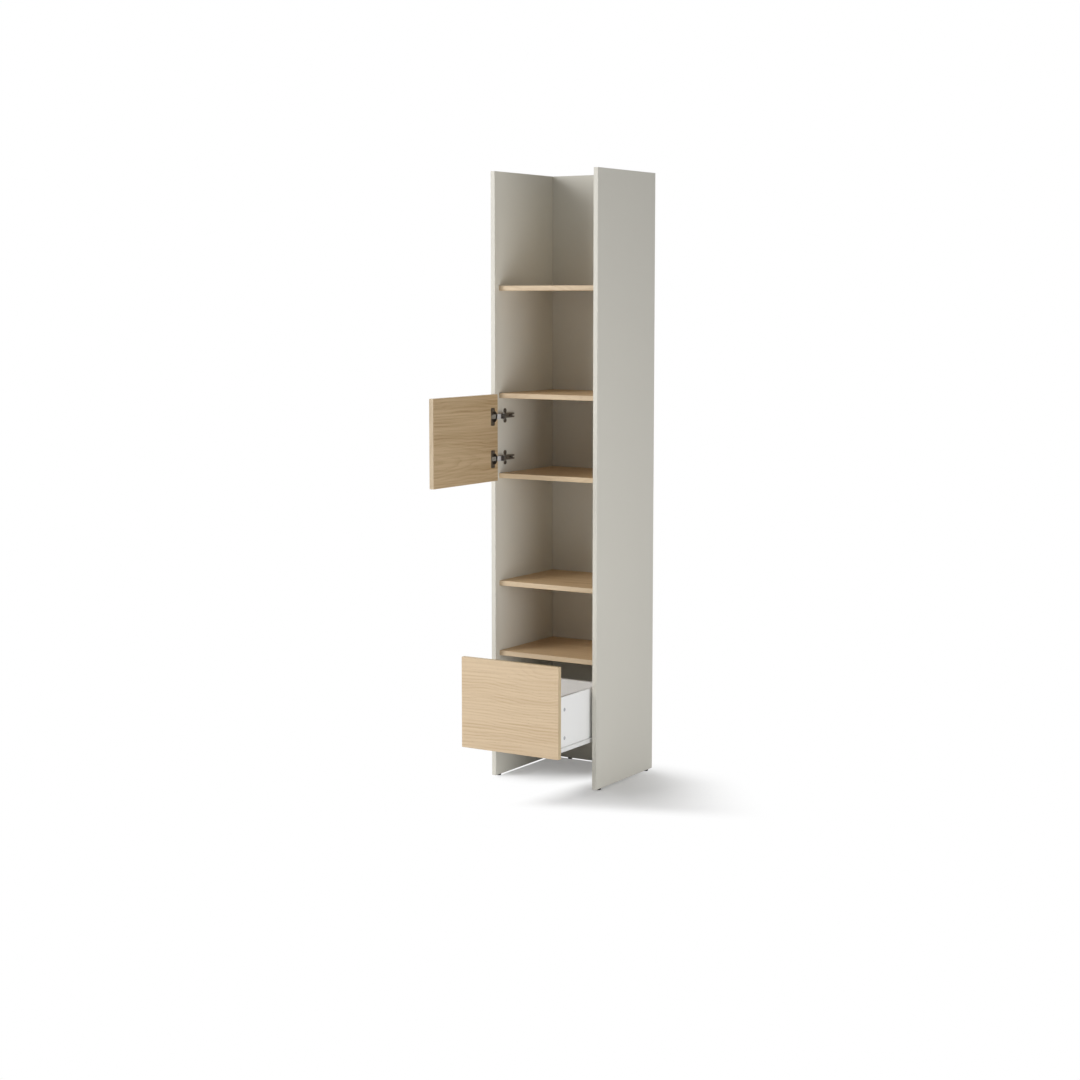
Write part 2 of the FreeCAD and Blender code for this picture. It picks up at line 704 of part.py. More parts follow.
def hinge_plate(label, z):
    """The cross-shaped plate on the side panel: a spine under the arm and two wings with a screw each."""
    body = new_body(label)
    rear = S.arm_rear - S.arm_width / 2
    sketch = sketch_on(body, "YZ_Plane")
    rectangle(sketch, S.arm_front, -S.arm_width / 2, rear - S.arm_front, S.arm_width)
    pad(body, sketch, S.plate_thickness)
    sketch = sketch_on(body, "YZ_Plane")
    neck_y = S.plate_place - S.wing_neck / 2
    rectangle(sketch, neck_y, -S.plate_screw_spacing / 2, S.wing_neck, S.plate_screw_spacing)
    pad(body, sketch, S.plate_thickness)
    spots = [(S.plate_place, S.plate_screw_spacing * side / 2) for side in (-1, 1)]
    for spot in spots:
        sketch = sketch_on(body, "YZ_Plane")
        circle(sketch, *spot, S.wing_radius)
        pad(body, sketch, S.plate_thickness)
    bores(body, "YZ_Plane", S.plate_thickness, -1, S.plate_thickness, screw_hole, spots)
    place(body, -inner, NONE, z)


adjusting_screw_places = (S.arm_front + S.screw_head_radius * 2, S.arm_rear - S.slot_length / 2)


def hinge_arm(label, z):
    """The cranked arm: a spine on the plate, a yoke in front of it and a nose with the link's pin."""
    body = new_body(label)
    nose_top = S.nose_height + S.nose_radius
    yoke_rear = S.arm_front - S.nose_radius
    sketch = sketch_on(body, "XY_Plane")
    outline(
        sketch,
        [
            (S.plate_thickness, S.arm_rear),
            (S.plate_thickness, S.arm_front),
            (S.nose_height - S.nose_radius, S.nose_place + S.nose_radius),
            (nose_top, S.nose_place + S.nose_radius),
            (nose_top, S.crank_front),
            (S.arm_height, S.arm_front),
            (S.arm_height, S.arm_rear),
        ],
    )
    pad(body, sketch, S.arm_width, both_ways=True)
    sketch = sketch_on(body, "XY_Plane")
    outline(
        sketch,
        [
            (S.arm_height, yoke_rear),
            (S.nose_height - S.nose_radius, S.nose_place),
            (nose_top, S.nose_place),
            (nose_top, S.crank_front),
            (S.arm_height + S.nose_radius, yoke_rear),
        ],
    )
    pad(body, sketch, S.yoke_width, both_ways=True)
    sketch = sketch_on(body, "XY_Plane")
    circle(sketch, S.nose_height, S.nose_place, S.nose_radius)
    pad(body, sketch, S.yoke_width, both_ways=True)
    clear = S.nose_radius + S.link_gap
    sketch = sketch_on(body, "XY_Plane")
    rectangle(
        sketch,
        S.nose_height - clear - S.overrun,
        S.nose_place - clear,
        clear * 2 + S.overrun * 2,
        clear * 2,
    )
    pocket(body, sketch, S.link_width + S.link_gap * 2, 1, both_ways=True)
    sketch = sketch_on(body, "XY_Plane")
    circle(sketch, S.nose_height, S.nose_place, S.pin_radius)
    pocket(body, sketch, S.yoke_width + S.overrun, 1, both_ways=True)
    sketch = sketch_on(body, "YZ_Plane", S.arm_height + S.overrun)
    slot_y = S.arm_rear - S.slot_length
    rectangle(sketch, slot_y, -S.slot_width / 2, S.slot_length + S.overrun, S.slot_width)
    pocket(body, sketch, S.arm_height + S.overrun * 2, -1)
    spots = [(adjusting_screw_places[0], NONE)]
    bores(body, "YZ_Plane", S.arm_height + S.overrun, -1, S.arm_height + S.overrun * 2, screw_hole, spots)
    place(body, -inner, NONE, z)


for name, z in hinge_heights.items():
    hinge_cup(f"{name}_hinge_cup", z)
    inner_link(f"{name}_hinge_inner_link", z)
    outer_link(f"{name}_hinge_outer_link", z)
    hinge_plate(f"{name}_hinge_plate", z)
    hinge_arm(f"{name}_hinge_arm", z)

pin = turned(
    "hinge_link_pin",
    [(NONE, NONE), (S.yoke_width, NONE), (S.yoke_width, S.pin_radius), (NONE, S.pin_radius)],
    keep=False,
)
places = []
for z in hinge_heights.values():
    places.append((-inner + S.nose_height, S.nose_place, z - S.yoke_width / 2, ALONG_Z))
group("hinge_link_pins", pin, places)


# Screws


def screw(label, length, head):
    """A screw along X: its shank reaches to negative X, its cross-recessed head to positive X."""
    point = S.screw_radius
    profile = [
        (-length, NONE),
        (point - length, S.screw_radius),
        (NONE, S.screw_radius),
        (NONE, S.screw_head_radius),
        (head / 2, S.screw_head_radius),
        (head, S.screw_head_radius - head / 2),
        (head, NONE),
    ]
    body = turned(label, profile, keep=False)
    reach = S.screw_head_radius - head / 2
    for wide, tall in ((reach, S.recess_width), (S.recess_width, reach)):
        sketch = sketch_on(body, "YZ_Plane", head)
        rectangle(sketch, -wide / 2, -tall / 2, wide, tall)
        pocket(body, sketch, head / 2, -1)
    return body


hinge_screw = screw("hinge_screw", S.screw_length, S.screw_head)
places = []
for z in hinge_heights.values():
    for side in (-1, 1):
        height = z + S.cup_screw_spacing * side / 2
        places.append((door_face_x + S.flange_thickness, cup_screw_y, height, ALONG_X))
group("hinge_cup_screws", hinge_screw, places)

plate_screw = screw("plate_screw", S.screw_length + S.plate_thickness, S.screw_head)
places = []
for z in hinge_heights.values():
    for side in (-1, 1):
        height = z + S.plate_screw_spacing * side / 2
        places.append((-inner + S.plate_thickness, S.plate_place, height, ALONG_X))
group("hinge_plate_screws", plate_screw, places)

adjusting_screw = screw("adjusting_screw", S.arm_height - S.plate_thickness, S.screw_head)
places = []
for z in hinge_heights.values():
    for y in adjusting_screw_places:
        places.append((-inner + S.arm_height, y, z, ALONG_X))
group("hinge_adjusting_screws", adjusting_screw, places)


# Drawer front and box


def drawer_front():
    body = new_board("drawer_front", door_width, S.board, S.drawer_front_height, lambda middle, box: True)
    side_middle = box_outer - S.box_board / 2
    centre = door_width / 2
    spots = []
    for x in (centre - side_middle, centre + side_middle):
        for z in (S.drawer_cam_inset, S.box_height - S.drawer_cam_inset):
            spots.append((x, box_bottom - front_bottom + z))
    bores(body, "XZ_Plane", S.board, -1, S.bolt_thread_length + S.play, bolt_hole, spots)
    groove_x = box_inner + S.groove_depth
    sketch = sketch_on(body, "XZ_Plane", S.board)
    groove_z = box_bottom - front_bottom + S.groove_rise
    rectangle(sketch, centre - groove_x, groove_z, groove_x * 2, groove_height)
    pocket(body, sketch, S.groove_depth, -1)
    place(body, -inner + S.front_gap, front_y, front_bottom)


drawer_front()

on_top = lambda middle, box: box.ZMax - middle.z < tiny and abs(middle.y - box.Center.y) < tiny


def drawer_side(label, x, outer_face, inward):
    """One drawer side, grooved inside for the bottom, with two cam bores and two screw holes outside."""
    body = new_board(label, S.box_board, box_length, S.box_height, on_top)
    inner_face = S.box_board - outer_face
    sketch = sketch_on(body, "YZ_Plane", inner_face)
    rectangle(sketch, NONE, S.groove_rise, box_length, groove_height)
    pocket(body, sketch, S.groove_depth, -inward)
    heights = (S.drawer_cam_inset, S.box_height - S.drawer_cam_inset)
    depth = S.drawer_cam_length + S.play
    cams = [(S.drawer_cam_reach, z) for z in heights]
    bores(body, "YZ_Plane", outer_face, inward, depth, S.drawer_cam_radius + S.play, cams)
    ends = [(S.box_board / 2, z) for z in heights]
    bores(body, "XZ_Plane", NONE, 1, S.drawer_cam_reach, S.bolt_head_radius + S.play, ends)
    screws = [(box_length - S.box_board / 2, z) for z in heights]
    bores(body, "YZ_Plane", outer_face, inward, S.box_board, screw_hole, screws)
    bores(body, "YZ_Plane", outer_face, inward, S.screw_head, S.screw_head_radius + S.play, screws)
    bottom = [(S.box_board / 2, y) for y in rail_screw_places]
    bores(body, "XY_Plane", NONE, 1, S.screw_length + S.play, screw_hole, bottom)
    place(body, x, box_y, box_bottom)


drawer_side("drawer_left_side", -box_outer, NONE, 1)
drawer_side("drawer_right_side", box_inner, S.box_board, -1)


def drawer_back():
    along = lambda middle, box: box.ZMax - middle.z < tiny and abs(middle.x - box.Center.x) < tiny
    width = box_inner * 2
    body = new_board("drawer_back", width, S.box_board, S.box_height, along)
    sketch = sketch_on(body, "XZ_Plane")
    rectangle(sketch, NONE, S.groove_rise, width, groove_height)
    pocket(body, sketch, S.groove_depth, 1)
    ends = [(S.box_board / 2, z) for z in (S.drawer_cam_inset, S.box_height - S.drawer_cam_inset)]
    depth = S.back_screw_length - S.box_board + S.screw_head + S.play
    bores(body, "YZ_Plane", NONE, 1, depth, screw_hole, ends)
    bores(body, "YZ_Plane", width, -1, depth, screw_hole, ends)
    place(body, -box_inner, back_y, box_bottom)


drawer_back()

reach = S.groove_depth - S.groove_play
new_board(
    "drawer_bottom",
    (box_inner + reach) * 2,
    box_length - S.box_board + reach * 2,
    S.bottom_thickness,
)
place(nodes[-1], -(box_inner + reach), box_y - reach, box_bottom + S.groove_rise)


# Drawer fittings

drawer_cam = cam("drawer_cam", S.drawer_cam_radius, S.drawer_cam_length, S.box_board / 2)
drawer_bolt = cam_bolt("drawer_cam_bolt", S.drawer_cam_reach)
FROM_LEFT = aim((1, 0, 0), (0, 1, 0))
FROM_RIGHT = aim((-1, 0, 0), (0, 1, 0))
cam_places = []
bolt_places = []
screw_places = []
side_middle = box_outer - S.box_board / 2
for z in (box_bottom + S.drawer_cam_inset, box_top - S.drawer_cam_inset):
    cam_places.append((-box_outer, box_y + S.drawer_cam_reach, z, FROM_LEFT))
    cam_places.append((box_outer, box_y + S.drawer_cam_reach, z, FROM_RIGHT))
    bolt_places.append((-side_middle, box_y, z, ALONG_Y))
    bolt_places.append((side_middle, box_y, z, ALONG_Y))
    screw_y = box_y + box_length - S.box_board / 2
    screw_places.append((S.screw_head - box_outer, screw_y, z, BACK_X))
    screw_places.append((box_outer - S.screw_head, screw_y, z, ALONG_X))
group("drawer_front_cams", drawer_cam, cam_places)
group("drawer_front_cam_bolts", drawer_bolt, bolt_places)
back_screw = screw("back_screw", S.back_screw_length, S.screw_head)
group("drawer_back_screws", back_screw, screw_places)


# Runners, made for the right side and mirrored for the left


def cabinet_rail():
    """A steel channel on the side panel, open towards the drawer, with no lips beside its front roller."""
    body = new_body("right_cabinet_rail")
    sketch = sketch_on(body, "YZ_Plane")
    rectangle(sketch, NONE, NONE, rail_length, rail_height)
    pad(body, sketch, S.rail_sheet)
    for rise in (NONE, rail_height - S.rail_sheet):
        sketch = sketch_on(body, "YZ_Plane", -S.rail_lip)
        rectangle(sketch, S.rail_mouth, rise, rail_length - S.rail_mouth, S.rail_sheet)
        pad(body, sketch, S.rail_lip)
    spots = [(y, roller_z - rail_bottom) for y in rail_screw_places]
    bores(body, "YZ_Plane", NONE, 1, S.rail_sheet, screw_hole, spots)
    spots = [(S.roller_inset, roller_z - rail_bottom)]
    bores(body, "YZ_Plane", NONE, 1, S.rail_sheet, S.axle_radius, spots)
    place(body, inner - S.rail_sheet, rail_y, rail_bottom)
    return body


def drawer_rail():
    """A steel rail under and beside the drawer side, with a lip over the front roller."""
    body = new_body("right_drawer_rail")
    sketch = sketch_on(body, "YZ_Plane")
    rectangle(sketch, NONE, NONE, rail_length, S.rail_sheet * 2 + S.lip_rise)
    pad(body, sketch, S.rail_sheet)
    sketch = sketch_on(body, "YZ_Plane", -S.box_board)
    rectangle(sketch, NONE, NONE, rail_length, S.rail_sheet)
    pad(body, sketch, S.box_board)
    sketch = sketch_on(body, "YZ_Plane", S.rail_sheet)
    rectangle(sketch, NONE, S.rail_sheet + S.lip_rise, rail_length, S.rail_sheet)
    pad(body, sketch, S.drawer_lip)
    spots = [(-S.box_board / 2, y) for y in rail_screw_places]
    bores(body, "XY_Plane", NONE, 1, S.rail_sheet, screw_hole, spots)
    spots = [(rail_length - S.roller_inset, roller_z - box_bottom + S.rail_sheet)]
    bores(body, "YZ_Plane", NONE, 1, S.rail_sheet, S.axle_radius, spots)
    place(body, box_outer, box_y, box_bottom - S.rail_sheet)
    return body


def roller(label, x, y):
    """A plastic roller, turned about X, with a shallow ring groove in each face."""
    ring = S.roller_spacer
    bore = S.axle_radius + S.roller_play
    hub = S.axle_head_radius + S.roller_spacer
    tread = S.roller_radius - S.roller_spacer * 2
    profile = [
        (NONE, bore),
        (NONE, hub),
        (ring, hub),
        (ring, tread),
        (NONE, tread),
        (NONE, S.roller_radius),
        (S.roller_width, S.roller_radius),
        (S.roller_width, tread),
        (S.roller_width - ring, tread),
        (S.roller_width - ring, hub),
        (S.roller_width, hub),
        (S.roller_width, bore),
    ]
    body = turned(label, profile)
    place(body, x, y, roller_z)
    return body


mirrored("left_cabinet_rail", cabinet_rail())
mirrored("left_drawer_rail", drawer_rail())
front_roller_x = inner - S.rail_sheet - S.roller_spacer - S.roller_width
rear_roller_x = box_outer + S.rail_sheet + S.roller_spacer
mirrored("left_front_roller", roller("right_front_roller", front_roller_x, front_roller_y))
mirrored("left_rear_roller", roller("right_rear_roller", rear_roller_x, rear_roller_y))

# An axle's foot sits in its rail's sheet, and its head stands just clear of the roller.
axle_length = S.rail_sheet + S.roller_spacer + S.roller_width + S.play
axle = turned(
    "roller_axle",
    [
        (NONE, NONE),
        (NONE, S.axle_radius),
        (axle_length, S.axle_radius),
        (axle_length, S.axle_head_radius),
        (axle_length + S.axle_head, S.axle_head_radius),
        (axle_length + S.axle_head, NONE),
    ],
    keep=False,
)
places = [(inner, front_roller_y, roller_z, BACK_X), (-inner, front_roller_y, roller_z, ALONG_X)]
group("front_roller_axles", axle, places)
places = [(box_outer, rear_roller_y, roller_z, ALONG_X), (-box_outer, rear_roller_y, roller_z, BACK_X)]
group("rear_roller_axles", axle, places)

rail_screw = screw("rail_screw", S.screw_length + S.rail_sheet, S.rail_screw_head)
wall_places = []
box_places = []
for y in rail_screw_places:
    wall_places.append((inner - S.rail_sheet, rail_y + y, roller_z, BACK_X))
    wall_places.append((S.rail_sheet - inner, rail_y + y, roller_z, ALONG_X))
    for x in (-side_middle, side_middle):
        box_places.append((x, box_y + y, box_bottom - S.rail_sheet, ALONG_Z.inverted()))
group("cabinet_rail_screws", rail_screw, wall_places)
group("drawer_rail_screws", rail_screw, box_places)


# Checks and export

doc.recompute()
for item in doc.Objects:
    if "Invalid" in item.State or "Error" in item.State:
        raise ValueError(f"{item.Label} failed")
os.makedirs("parts", exist_ok=True)
for item in nodes:
    shape = Part.getShape(item)
    if shape.isNull() or not shape.isValid() or not shape.Solids:
        raise ValueError(f"{item.Label} has no valid solid")
    shape.exportStep(f"parts/{item.Label}.step")
    box = shape.BoundBox
    low = ", ".join(f"{value:.1f}" for value in (box.XMin, box.YMin, box.ZMin))
    high = ", ".join(f"{value:.1f}" for value in (box.XMax, box.YMax, box.ZMax))
    print(f"{item.Label}: {len(shape.Solids)} solids from {low} to {high}")
print(f"{len(nodes)} nodes")
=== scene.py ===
# %% [markdown]
# # A tall storage cabinet, dressed in Blender
# The cabinet arrives as finished solids: boards, shelves, a small door on two concealed hinges and a
# drawer on roller runners. They could be modelled again from nothing, but the solids already hold the
# true sizes and the joints, so they are loaded as a fixed frame. What is left to do here is what the
# eye judges: the finishes, the stamped and moulded fittings, the light and the camera. All lengths are
# in metres.

# %% Load the frame
import math

import bpy
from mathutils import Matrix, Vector


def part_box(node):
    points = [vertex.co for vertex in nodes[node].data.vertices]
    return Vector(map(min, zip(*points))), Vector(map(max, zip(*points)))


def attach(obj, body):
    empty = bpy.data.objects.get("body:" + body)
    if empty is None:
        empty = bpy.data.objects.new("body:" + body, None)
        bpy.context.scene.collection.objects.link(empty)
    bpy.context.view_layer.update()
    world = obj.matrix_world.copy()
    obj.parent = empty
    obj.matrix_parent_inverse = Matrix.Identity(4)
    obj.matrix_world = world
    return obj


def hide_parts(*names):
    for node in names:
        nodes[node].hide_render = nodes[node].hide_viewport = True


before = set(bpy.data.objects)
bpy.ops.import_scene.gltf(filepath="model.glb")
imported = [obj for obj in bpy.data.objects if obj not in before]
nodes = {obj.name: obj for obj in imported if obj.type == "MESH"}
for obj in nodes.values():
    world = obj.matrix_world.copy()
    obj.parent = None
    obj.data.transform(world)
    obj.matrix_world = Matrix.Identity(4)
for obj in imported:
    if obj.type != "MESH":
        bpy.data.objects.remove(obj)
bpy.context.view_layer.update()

# %% [markdown]
# ## Colours as the eye reads them
# A colour read off a screen is a number from 0 to 255 on a curve that suits screens. The renderer works
# with amounts of light. One small function turns the first into the second, so that every finish below
# can be written as it is seen in daylight.

# %% A colour written as it is seen
curve_knee, curve_slope, curve_offset, curve_power = 0.04045, 12.92, 0.055, 2.4


def seen(red, green, blue):
    """The renderer's colour for one that is read from a screen."""
    amounts = []
    for part in (red / 255, green / 255, blue / 255):
        if part <= curve_knee:
            amounts.append(part / curve_slope)
        else:
            amounts.append(((part + curve_offset) / (1 + curve_offset)) ** curve_power)
    return (*amounts, 1.0)


print("mid grey is", round(seen(128, 128, 128)[0], 3), "of full light")

# %% [markdown]
# ## Helpers for node trees
# Every finish is a small network of nodes. Dragging them by hand works in the window. In a script the
# same drags repeat hundreds of times, so one helper adds a node and plugs in whatever it is given,
# another does arithmetic, and a third blends two colours. Three more are built on them: noise, a fade
# from zero to one, and a value made to swing about zero.


# %% Nodes, sums and blends
def fill(tree, socket, value):
    """Links a socket to another one, or sets its value."""
    if isinstance(value, bpy.types.NodeSocket):
        tree.links.new(value, socket)
    else:
        socket.default_value = value


def add_node(tree, kind, inputs=None, **settings):
    """A node with its settings made and its sockets filled or linked."""
    made = tree.nodes.new(kind)
    for name, value in settings.items():
        setattr(made, name, value)
    for name, value in (inputs or {}).items():
        fill(tree, made.inputs[name], value)
    return made


def calculate(tree, operation, *values):
    """One sum, product or comparison of numbers or sockets."""
    made = add_node(tree, "ShaderNodeMath", operation=operation)
    for socket, value in zip(made.inputs, values):
        fill(tree, socket, value)
    return made.outputs[0]


def blend(tree, factor, first, second):
    """Two colours blended by a factor, each a socket or a value."""
    made = add_node(tree, "ShaderNodeMix", data_type="RGBA")
    for index, value in ((0, factor), (6, first), (7, second)):
        fill(tree, made.inputs[index], value)
    return made.outputs[2]


print("a node can be added and filled in one line")


# %% Noise, fades and swings
def add_noise(tree, vector, scale, detail, roughness=0.5):
    """The value of a noise texture."""
    inputs = {"Vector": vector, "Scale": scale, "Detail": detail, "Roughness": roughness}
    return add_node(tree, "ShaderNodeTexNoise", inputs).outputs["Fac"]


def fade_over(tree, value, empty, full, bend="LINEAR"):
    """Zero where the value is empty, one where it is full, and a fade between them."""
    inputs = {"Value": value, "From Min": empty, "From Max": full}
    return add_node(tree, "ShaderNodeMapRange", inputs, interpolation_type=bend).outputs[0]


def swing(tree, value, amount, middle=0.5):
    """A value about its middle made into a value about zero, times an amount."""
    return calculate(tree, "MULTIPLY", calculate(tree, "SUBTRACT", value, middle), amount)


print("node helpers are ready")

# %% [markdown]
# ## Effects that several finishes share
# Board edges, wood grain and the fine tooth of a coating each serve more than one finish. Copying
# their nodes into every material would work, but a change would then have to be made many times. A node
# group is built once and placed where it is needed, with its own values each time.


# %% An empty node group
def new_group(name, inputs, outputs):
    """A node group with named sockets, and its input and output nodes."""
    group = bpy.data.node_groups.new(name, "ShaderNodeTree")
    for label, kind, default in inputs:
        socket = group.interface.new_socket(label, in_out="INPUT", socket_type=f"NodeSocket{kind}")
        socket.default_value = default
    for label, kind in outputs:
        group.interface.new_socket(label, in_out="OUTPUT", socket_type=f"NodeSocket{kind}")
    return group, group.nodes.new("NodeGroupInput"), group.nodes.new("NodeGroupOutput")


print("groups get their sockets by name")

# %% [markdown]
# ### The fine tooth of a coating
# A matt laminate, an enamel or a moulded plastic is never quite even: it has a fine tooth that breaks
# up reflections, and a slow drift in tone. Two noise textures give both. The fine one drives a bump,
# the slow one shifts colour and gloss by a few percent.

# %% Group: fine tooth
tooth, start, end = new_group(
    "fine tooth",
    [("Vector", "Vector", (0, 0, 0)), ("Grain size", "Float", 0.0008), ("Drift size", "Float", 0.25)],
    [("Drift", "Float"), ("Tooth", "Float")],
)
crispness = 0.55
for label, size_name, detail in (("Tooth", "Grain size", 2.0), ("Drift", "Drift size", 3.0)):
    scale = calculate(tooth, "DIVIDE", 1.0, start.outputs[size_name])
    tooth.links.new(add_noise(tooth, start.outputs["Vector"], scale, detail, crispness), end.inputs[label])
print("fine tooth has", len(tooth.nodes), "nodes")

# %% [markdown]
# ### Edges of a board
# A laminated board is banded: a strip about a millimetre thick covers each narrow edge, and a hairline
# joint shows on the broad faces just inside it. Handling also polishes the outermost millimetre. Both
# follow from one number, the distance to the nearest edge. On a box that is the middle one of the three
# distances to its pairs of faces, so the group needs only the box's two corners.

# %% Group: board edges
face_depth = 0.0004
joint_half_width = 0.00009
handled_width = 0.0016
edges, start, end = new_group(
    "board edges",
    [
        ("Vector", "Vector", (0, 0, 0)),
        ("Low", "Vector", (0, 0, 0)),
        ("High", "Vector", (1, 1, 1)),
        ("Thin axis", "Vector", (0, 0, 1)),
        ("Band", "Float", 0.001),
    ],
    [("Joint line", "Float"), ("Handled edge", "Float"), ("On the band", "Float")],
)


def combine(operation, first, second):
    """Two vectors of the board's edges combined."""
    return add_node(edges, "ShaderNodeVectorMath", {0: first, 1: second}, operation=operation)


above = combine("SUBTRACT", start.outputs["Vector"], start.outputs["Low"])
below = combine("SUBTRACT", start.outputs["High"], start.outputs["Vector"])
nearest = combine("MINIMUM", above.outputs[0], below.outputs[0])
away = add_node(edges, "ShaderNodeSeparateXYZ", {0: nearest.outputs[0]})
lower = calculate(edges, "MINIMUM", away.outputs[0], away.outputs[1])
upper = calculate(edges, "MAXIMUM", away.outputs[0], away.outputs[1])
middle = calculate(edges, "MAXIMUM", lower, calculate(edges, "MINIMUM", upper, away.outputs[2]))

deep = combine("DOT_PRODUCT", nearest.outputs[0], start.outputs["Thin axis"])
on_face = calculate(edges, "LESS_THAN", deep.outputs["Value"], face_depth)
from_joint = calculate(edges, "ABSOLUTE", calculate(edges, "SUBTRACT", middle, start.outputs["Band"]))
hairline = calculate(edges, "LESS_THAN", from_joint, joint_half_width)
inputs = {"Value": middle, "From Max": handled_width, "To Min": 1.0, "To Max": 0.0}
handled = add_node(edges, "ShaderNodeMapRange", inputs, interpolation_type="SMOOTHSTEP")
edges.links.new(calculate(edges, "MULTIPLY", hairline, on_face), end.inputs["Joint line"])
edges.links.new(handled.outputs[0], end.inputs["Handled edge"])
edges.links.new(calculate(edges, "SUBTRACT", 1.0, on_face), end.inputs["On the band"])
print("board edges has", len(edges.nodes), "nodes")

# %% [markdown]
# ### Oak cut along the trunk
# An oak veneer shows where a knife cut across the yearly rings. Far from the heart the rings run as
# near-straight lines, and close to it they close into long nested arches. A picture of oak would repeat
# on every board. Instead the group works out the real thing: how far each point lies from a wandering
# heart line, how many rings that is, and where in its ring the point falls. A heart line that slants
# away from the board gives open arches, and one that wanders gives closed ones. Short dark pores and
# long pale fibres are noise stretched along the grain, which runs along the group's own X axis.

# %% Group: oak figure
oak, start, end = new_group(
    "oak figure",
    [
        ("Vector", "Vector", (0, 0, 0)),
        ("Ring width", "Float", 0.010),
        ("Pale wood", "Color", seen(222, 199, 165)),
        ("Late wood", "Color", seen(196, 166, 128)),
        ("Figure", "Float", 0.6),
        ("Streaks", "Float", 0.3),
        ("Dive", "Float", 0.16),
        ("Arch", "Float", 0.0),
    ],
    [("Colour", "Color"), ("Polish", "Float"), ("Relief", "Float")],
)
# How often each pattern repeats in a metre: along the grain, across it and through the board.
waves = {
    "heart": (2.6, 7.0, 7.0),
    "dive": (3.4, 2.0, 2.0),
    "ripple": (9.0, 60.0, 60.0),
    "patches": (2.2, 14.0, 14.0),
    "fibres": (5.0, 420.0, 420.0),
    "streaks": (2.2, 120.0, 120.0),
    "pores": (70.0, 2100.0, 2100.0),
}


def stretched(pattern, detail, roughness=0.5):
    """Noise on the grain's coordinates, squeezed or stretched along each axis."""
    inputs = {"Vector": start.outputs["Vector"], "Scale": waves[pattern]}
    mapped = add_node(oak, "ShaderNodeMapping", inputs)
    return add_noise(oak, mapped.outputs[0], 1.0, detail, roughness)


print("oak is made of", len(waves), "patterns")

# %% The yearly rings
heart_sway, dive_middle, ring_ripple = 0.060, 0.42, 0.9
place = add_node(oak, "ShaderNodeSeparateXYZ", {0: start.outputs["Vector"]})
sway = swing(oak, stretched("heart", 4.0), heart_sway)
across = calculate(oak, "ADD", place.outputs[1], sway)
depth = swing(oak, stretched("dive", 1.0, 0.4), start.outputs["Dive"], dive_middle)
depth = calculate(oak, "ADD", depth, place.outputs[2])
slant = calculate(oak, "MULTIPLY", place.outputs[0], start.outputs["Arch"])
depth = calculate(oak, "ADD", depth, slant)
squared = calculate(oak, "ADD", calculate(oak, "POWER", across, 2.0), calculate(oak, "POWER", depth, 2.0))
rings = calculate(oak, "DIVIDE", calculate(oak, "SQRT", squared), start.outputs["Ring width"])
ripple = calculate(oak, "MULTIPLY", stretched("ripple", 4.0, 0.6), ring_ripple)
year = calculate(oak, "FRACT", calculate(oak, "ADD", rings, ripple))

# How dark the wood is through one year, from the start of a ring to its end.
late = add_node(oak, "ShaderNodeValToRGB", {"Fac": year})
ramp = late.color_ramp.elements
ramp[len(ramp) - 1].color = (0.55, 0.55, 0.55, 1)
for position, value in ((0.0, 0.55), (0.10, 0.10), (0.45, 0.0), (0.80, 0.55), (0.93, 1.0)):
    stop = ramp[0] if position == 0 else ramp.new(position)
    stop.color = (value, value, value, 1)
patch = fade_over(oak, stretched("patches", 2.0), 0.32, 0.68)
ring_strength = calculate(oak, "MULTIPLY", patch, start.outputs["Figure"])
ring_tone = calculate(oak, "MULTIPLY", late.outputs[0], ring_strength)
print("a year of wood has", len(ramp), "tones")

# %% Fibres, streaks and pores
fibre_share, pore_floor, pore_strength = 0.20, 0.25, 0.45
polish_base, polish_swing, fibre_height = 0.44, 0.10, 0.35
fibre_tone = fade_over(oak, stretched("fibres", 3.0, 0.6), 0.30, 0.75)
streak_tone = fade_over(oak, stretched("streaks", 3.0, 0.6), 0.40, 0.72)
tone = calculate(oak, "ADD", ring_tone, calculate(oak, "MULTIPLY", fibre_tone, fibre_share))
tone = calculate(oak, "ADD", tone, calculate(oak, "MULTIPLY", streak_tone, start.outputs["Streaks"]))
shade = calculate(oak, "MINIMUM", tone, 1.0)
colour = blend(oak, shade, start.outputs["Pale wood"], start.outputs["Late wood"])

pore = fade_over(oak, stretched("pores", 1.0), 0.64, 0.72)
pore = calculate(oak, "MULTIPLY", pore, calculate(oak, "ADD", late.outputs[0], pore_floor))
colour = blend(oak, calculate(oak, "MULTIPLY", pore, pore_strength), colour, seen(128, 98, 66))
polish = calculate(oak, "ADD", calculate(oak, "MULTIPLY", tone, polish_swing), polish_base)
relief = calculate(oak, "SUBTRACT", calculate(oak, "MULTIPLY", fibre_tone, fibre_height), pore)
for label, value in (("Colour", colour), ("Polish", polish), ("Relief", relief)):
    oak.links.new(value, end.inputs[label])
print("oak figure has", len(oak.nodes), "nodes")

# %% [markdown]
# ### Metal that was drawn, plated or cast
# Stamped steel keeps faint lines from the rolling mill, and plating settles on them. Long thin noise
# gives lines, and a second, rounder noise gives the cloudiness of plating and casting. One group serves
# the bright axles and bolts, the greyer hinges and the cast cams.

